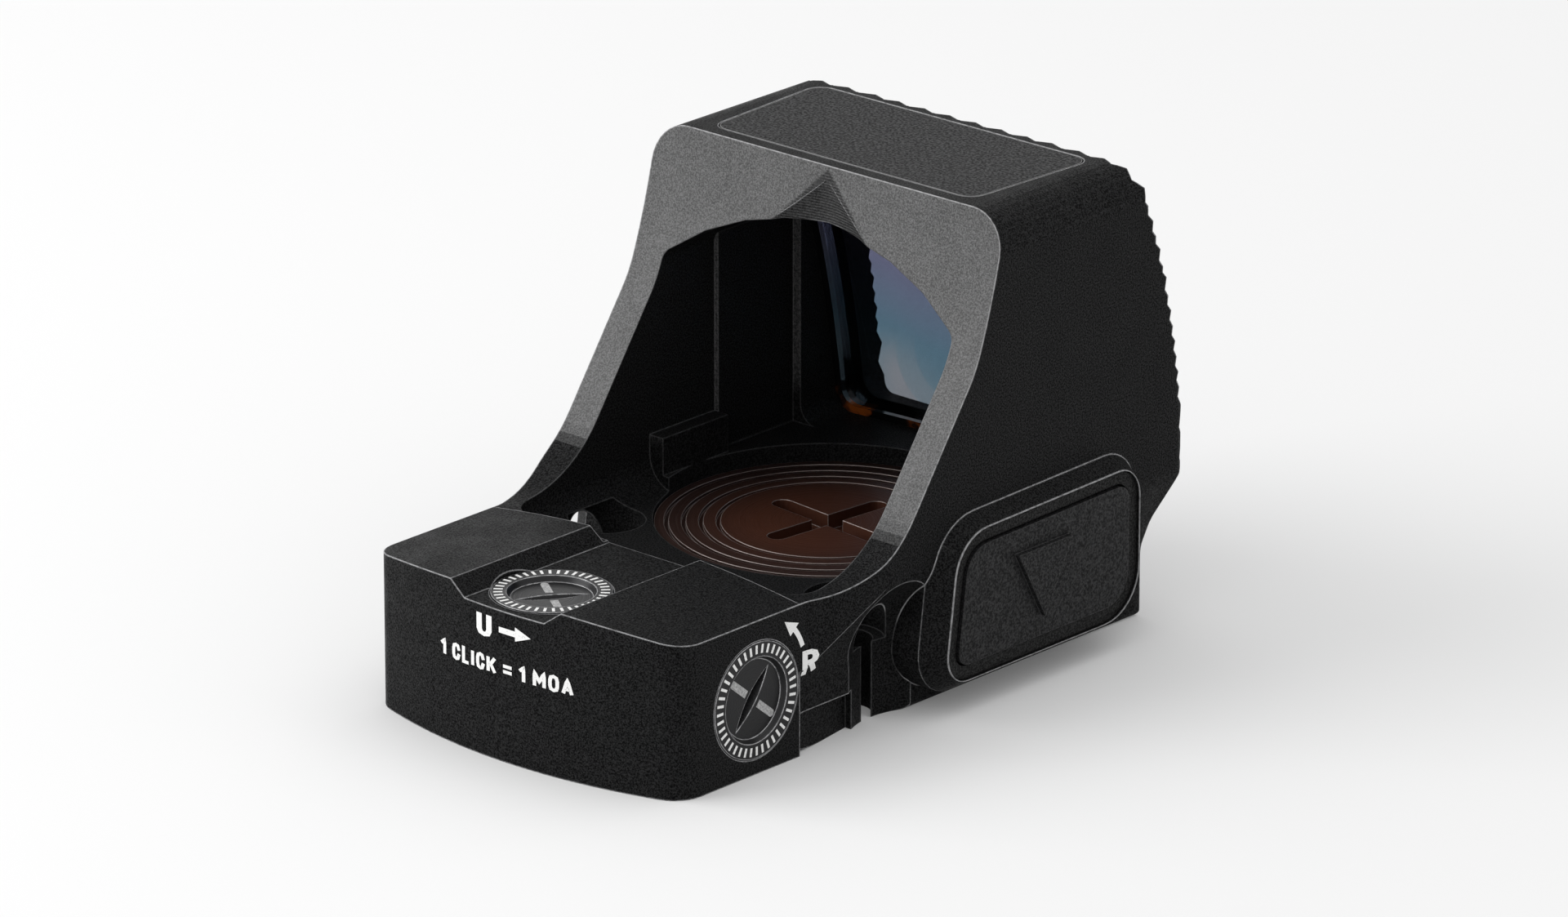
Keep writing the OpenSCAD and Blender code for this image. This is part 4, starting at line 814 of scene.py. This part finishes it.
class SIGHT_OT_stage(bpy.types.Operator):
    """Builds the floor, surround, lamps and camera"""
    bl_idname = "sight.stage"
    bl_label = "Stage"

    def execute(self, context):
        scene, stage = context.scene, context.scene.sight_stage
        self.camera(scene, stage)
        self.floor(scene)
        self.surround(scene, stage)
        self.lamps(scene, stage)
        scene.view_settings.view_transform = "Standard"
        return {"FINISHED"}

    def camera(self, scene, stage):
        """A long lens behind the sight, to its right and above it."""
        lens = bpy.data.cameras.new("camera")
        lens.lens, lens.sensor_width = CAMERA_FOCAL, CAMERA_SENSOR
        lens.clip_start, lens.clip_end = 0.01, 20.0
        camera = bpy.data.objects.new("camera", lens)
        scene.collection.objects.link(camera)
        camera.location = CAMERA_AT
        camera.rotation_euler = (math.pi / 2 - stage.elevation, 0, stage.heading)
        scene.camera = camera

    def floor(self, scene):
        """A square floor, flat at the object's lowest level."""
        corners = np.array([[-1, -1, 0], [1, -1, 0], [1, 1, 0], [-1, 1, 0]]) * FLOOR_HALF
        mesh = bpy.data.meshes.new("floor")
        mesh.from_pydata((corners + [0, 0, HOUSING_LOW.z]).tolist(), [], [[0, 1, 2, 3]])
        floor = bpy.data.objects.new("floor", mesh)
        scene.collection.objects.link(floor)
        s = Shader("floor_white")
        s.set(Base_Color=rgba([FLOOR_WHITE] * 3), Roughness=0.9, Specular_IOR_Level=0.0)
        path = s.node("LightPath").outputs
        seen = path["Is Camera Ray"]
        for kind in ("Is Glossy Ray", "Is Transmission Ray"):
            seen = s.math("MAXIMUM", seen, path[kind])
        lift = s.node("Emission", {"Color": (1, 1, 1, 1), "Strength": s.math("MULTIPLY", seen, FLOOR_LIFT)})
        both = s.node("AddShader", {0: s.surface.outputs[0], 1: lift.outputs[0]})
        s.put(s.output, "Surface", both.outputs[0])
        mesh.materials.append(s.material)

    def surround(self, scene, stage):
        """Even surround: white to the camera, in gloss and through glass, softer as a light."""
        world = bpy.data.worlds.new("surround")
        world.use_nodes = True
        tree = world.node_tree
        back = tree.nodes["Background"]
        path = tree.nodes.new("ShaderNodeLightPath")
        seen = path.outputs["Is Camera Ray"]
        for kind in ("Is Glossy Ray", "Is Transmission Ray"):
            either = tree.nodes.new("ShaderNodeMath")
            either.operation = "MAXIMUM"
            tree.links.new(seen, either.inputs[0])
            tree.links.new(path.outputs[kind], either.inputs[1])
            seen = either.outputs[0]
        level = tree.nodes.new("ShaderNodeMapRange")
        tree.links.new(seen, level.inputs["Value"])
        level.inputs["To Min"].default_value = stage.surround
        level.inputs["To Max"].default_value = 1.0
        tree.links.new(level.outputs["Result"], back.inputs["Strength"])
        back.inputs["Color"].default_value = (1, 1, 1, 1)
        scene.world = world

    def lamps(self, scene, stage):
        """A large low lamp behind the left shoulder and a weaker one overhead, both aimed at the middle."""
        for name, toward, distance, width, height, power in (
                ("key", (-0.62, -0.60, 0.42), 0.45, 0.35, 0.42, stage.key_power),
                ("overhead", (0.15, 0.25, 1.0), 0.6, 0.5, 0.5, stage.fill_power)):
            data = bpy.data.lights.new(name, "AREA")
            data.shape = "RECTANGLE"
            data.size, data.size_y, data.energy = width, height, power
            lamp = bpy.data.objects.new(name, data)
            scene.collection.objects.link(lamp)
            direction = Vector(toward).normalized()
            lamp.location = AIM + direction * distance
            lamp.rotation_euler = direction.to_track_quat("Z", "Y").to_euler()


class SIGHT_PT_looks(bpy.types.Panel):
    """Lists the sight's finishes, marks and stage"""
    bl_label = "Sight"
    bl_idname = "SIGHT_PT_looks"
    bl_space_type = "VIEW_3D"
    bl_region_type = "UI"
    bl_category = "Sight"

    def draw(self, context):
        scene = context.scene
        for title, group in (("Finishes", scene.sight_finish), ("Marks", scene.sight_marks),
                             ("Stage", scene.sight_stage)):
            box = self.layout.box()
            box.label(text=title)
            for name in group.__annotations__:
                box.prop(group, name)
        for operator in OPERATORS:
            self.layout.operator(operator.bl_idname)


OPERATORS = (SIGHT_OT_finish_metal, SIGHT_OT_finish_polymer, SIGHT_OT_finish_optics,
             SIGHT_OT_finish_works, SIGHT_OT_print_marks, SIGHT_OT_adjuster_scales, SIGHT_OT_stage)
CLASSES = (FinishSettings, MarkSettings, StageSettings, *OPERATORS, SIGHT_PT_looks)


def register():
    for cls in CLASSES:
        bpy.utils.register_class(cls)
    bpy.types.Scene.sight_finish = bpy.props.PointerProperty(type=FinishSettings)
    bpy.types.Scene.sight_marks = bpy.props.PointerProperty(type=MarkSettings)
    bpy.types.Scene.sight_stage = bpy.props.PointerProperty(type=StageSettings)


def unregister():
    del bpy.types.Scene.sight_stage
    del bpy.types.Scene.sight_marks
    del bpy.types.Scene.sight_finish
    for cls in reversed(CLASSES):
        bpy.utils.unregister_class(cls)


def main():
    register()
    for operator in OPERATORS:
        group, name = operator.bl_idname.split(".")
        if getattr(getattr(bpy.ops, group), name)() != {"FINISHED"}:
            raise RuntimeError(operator.bl_label + " did not finish")


if __name__ == "__main__":
    main()
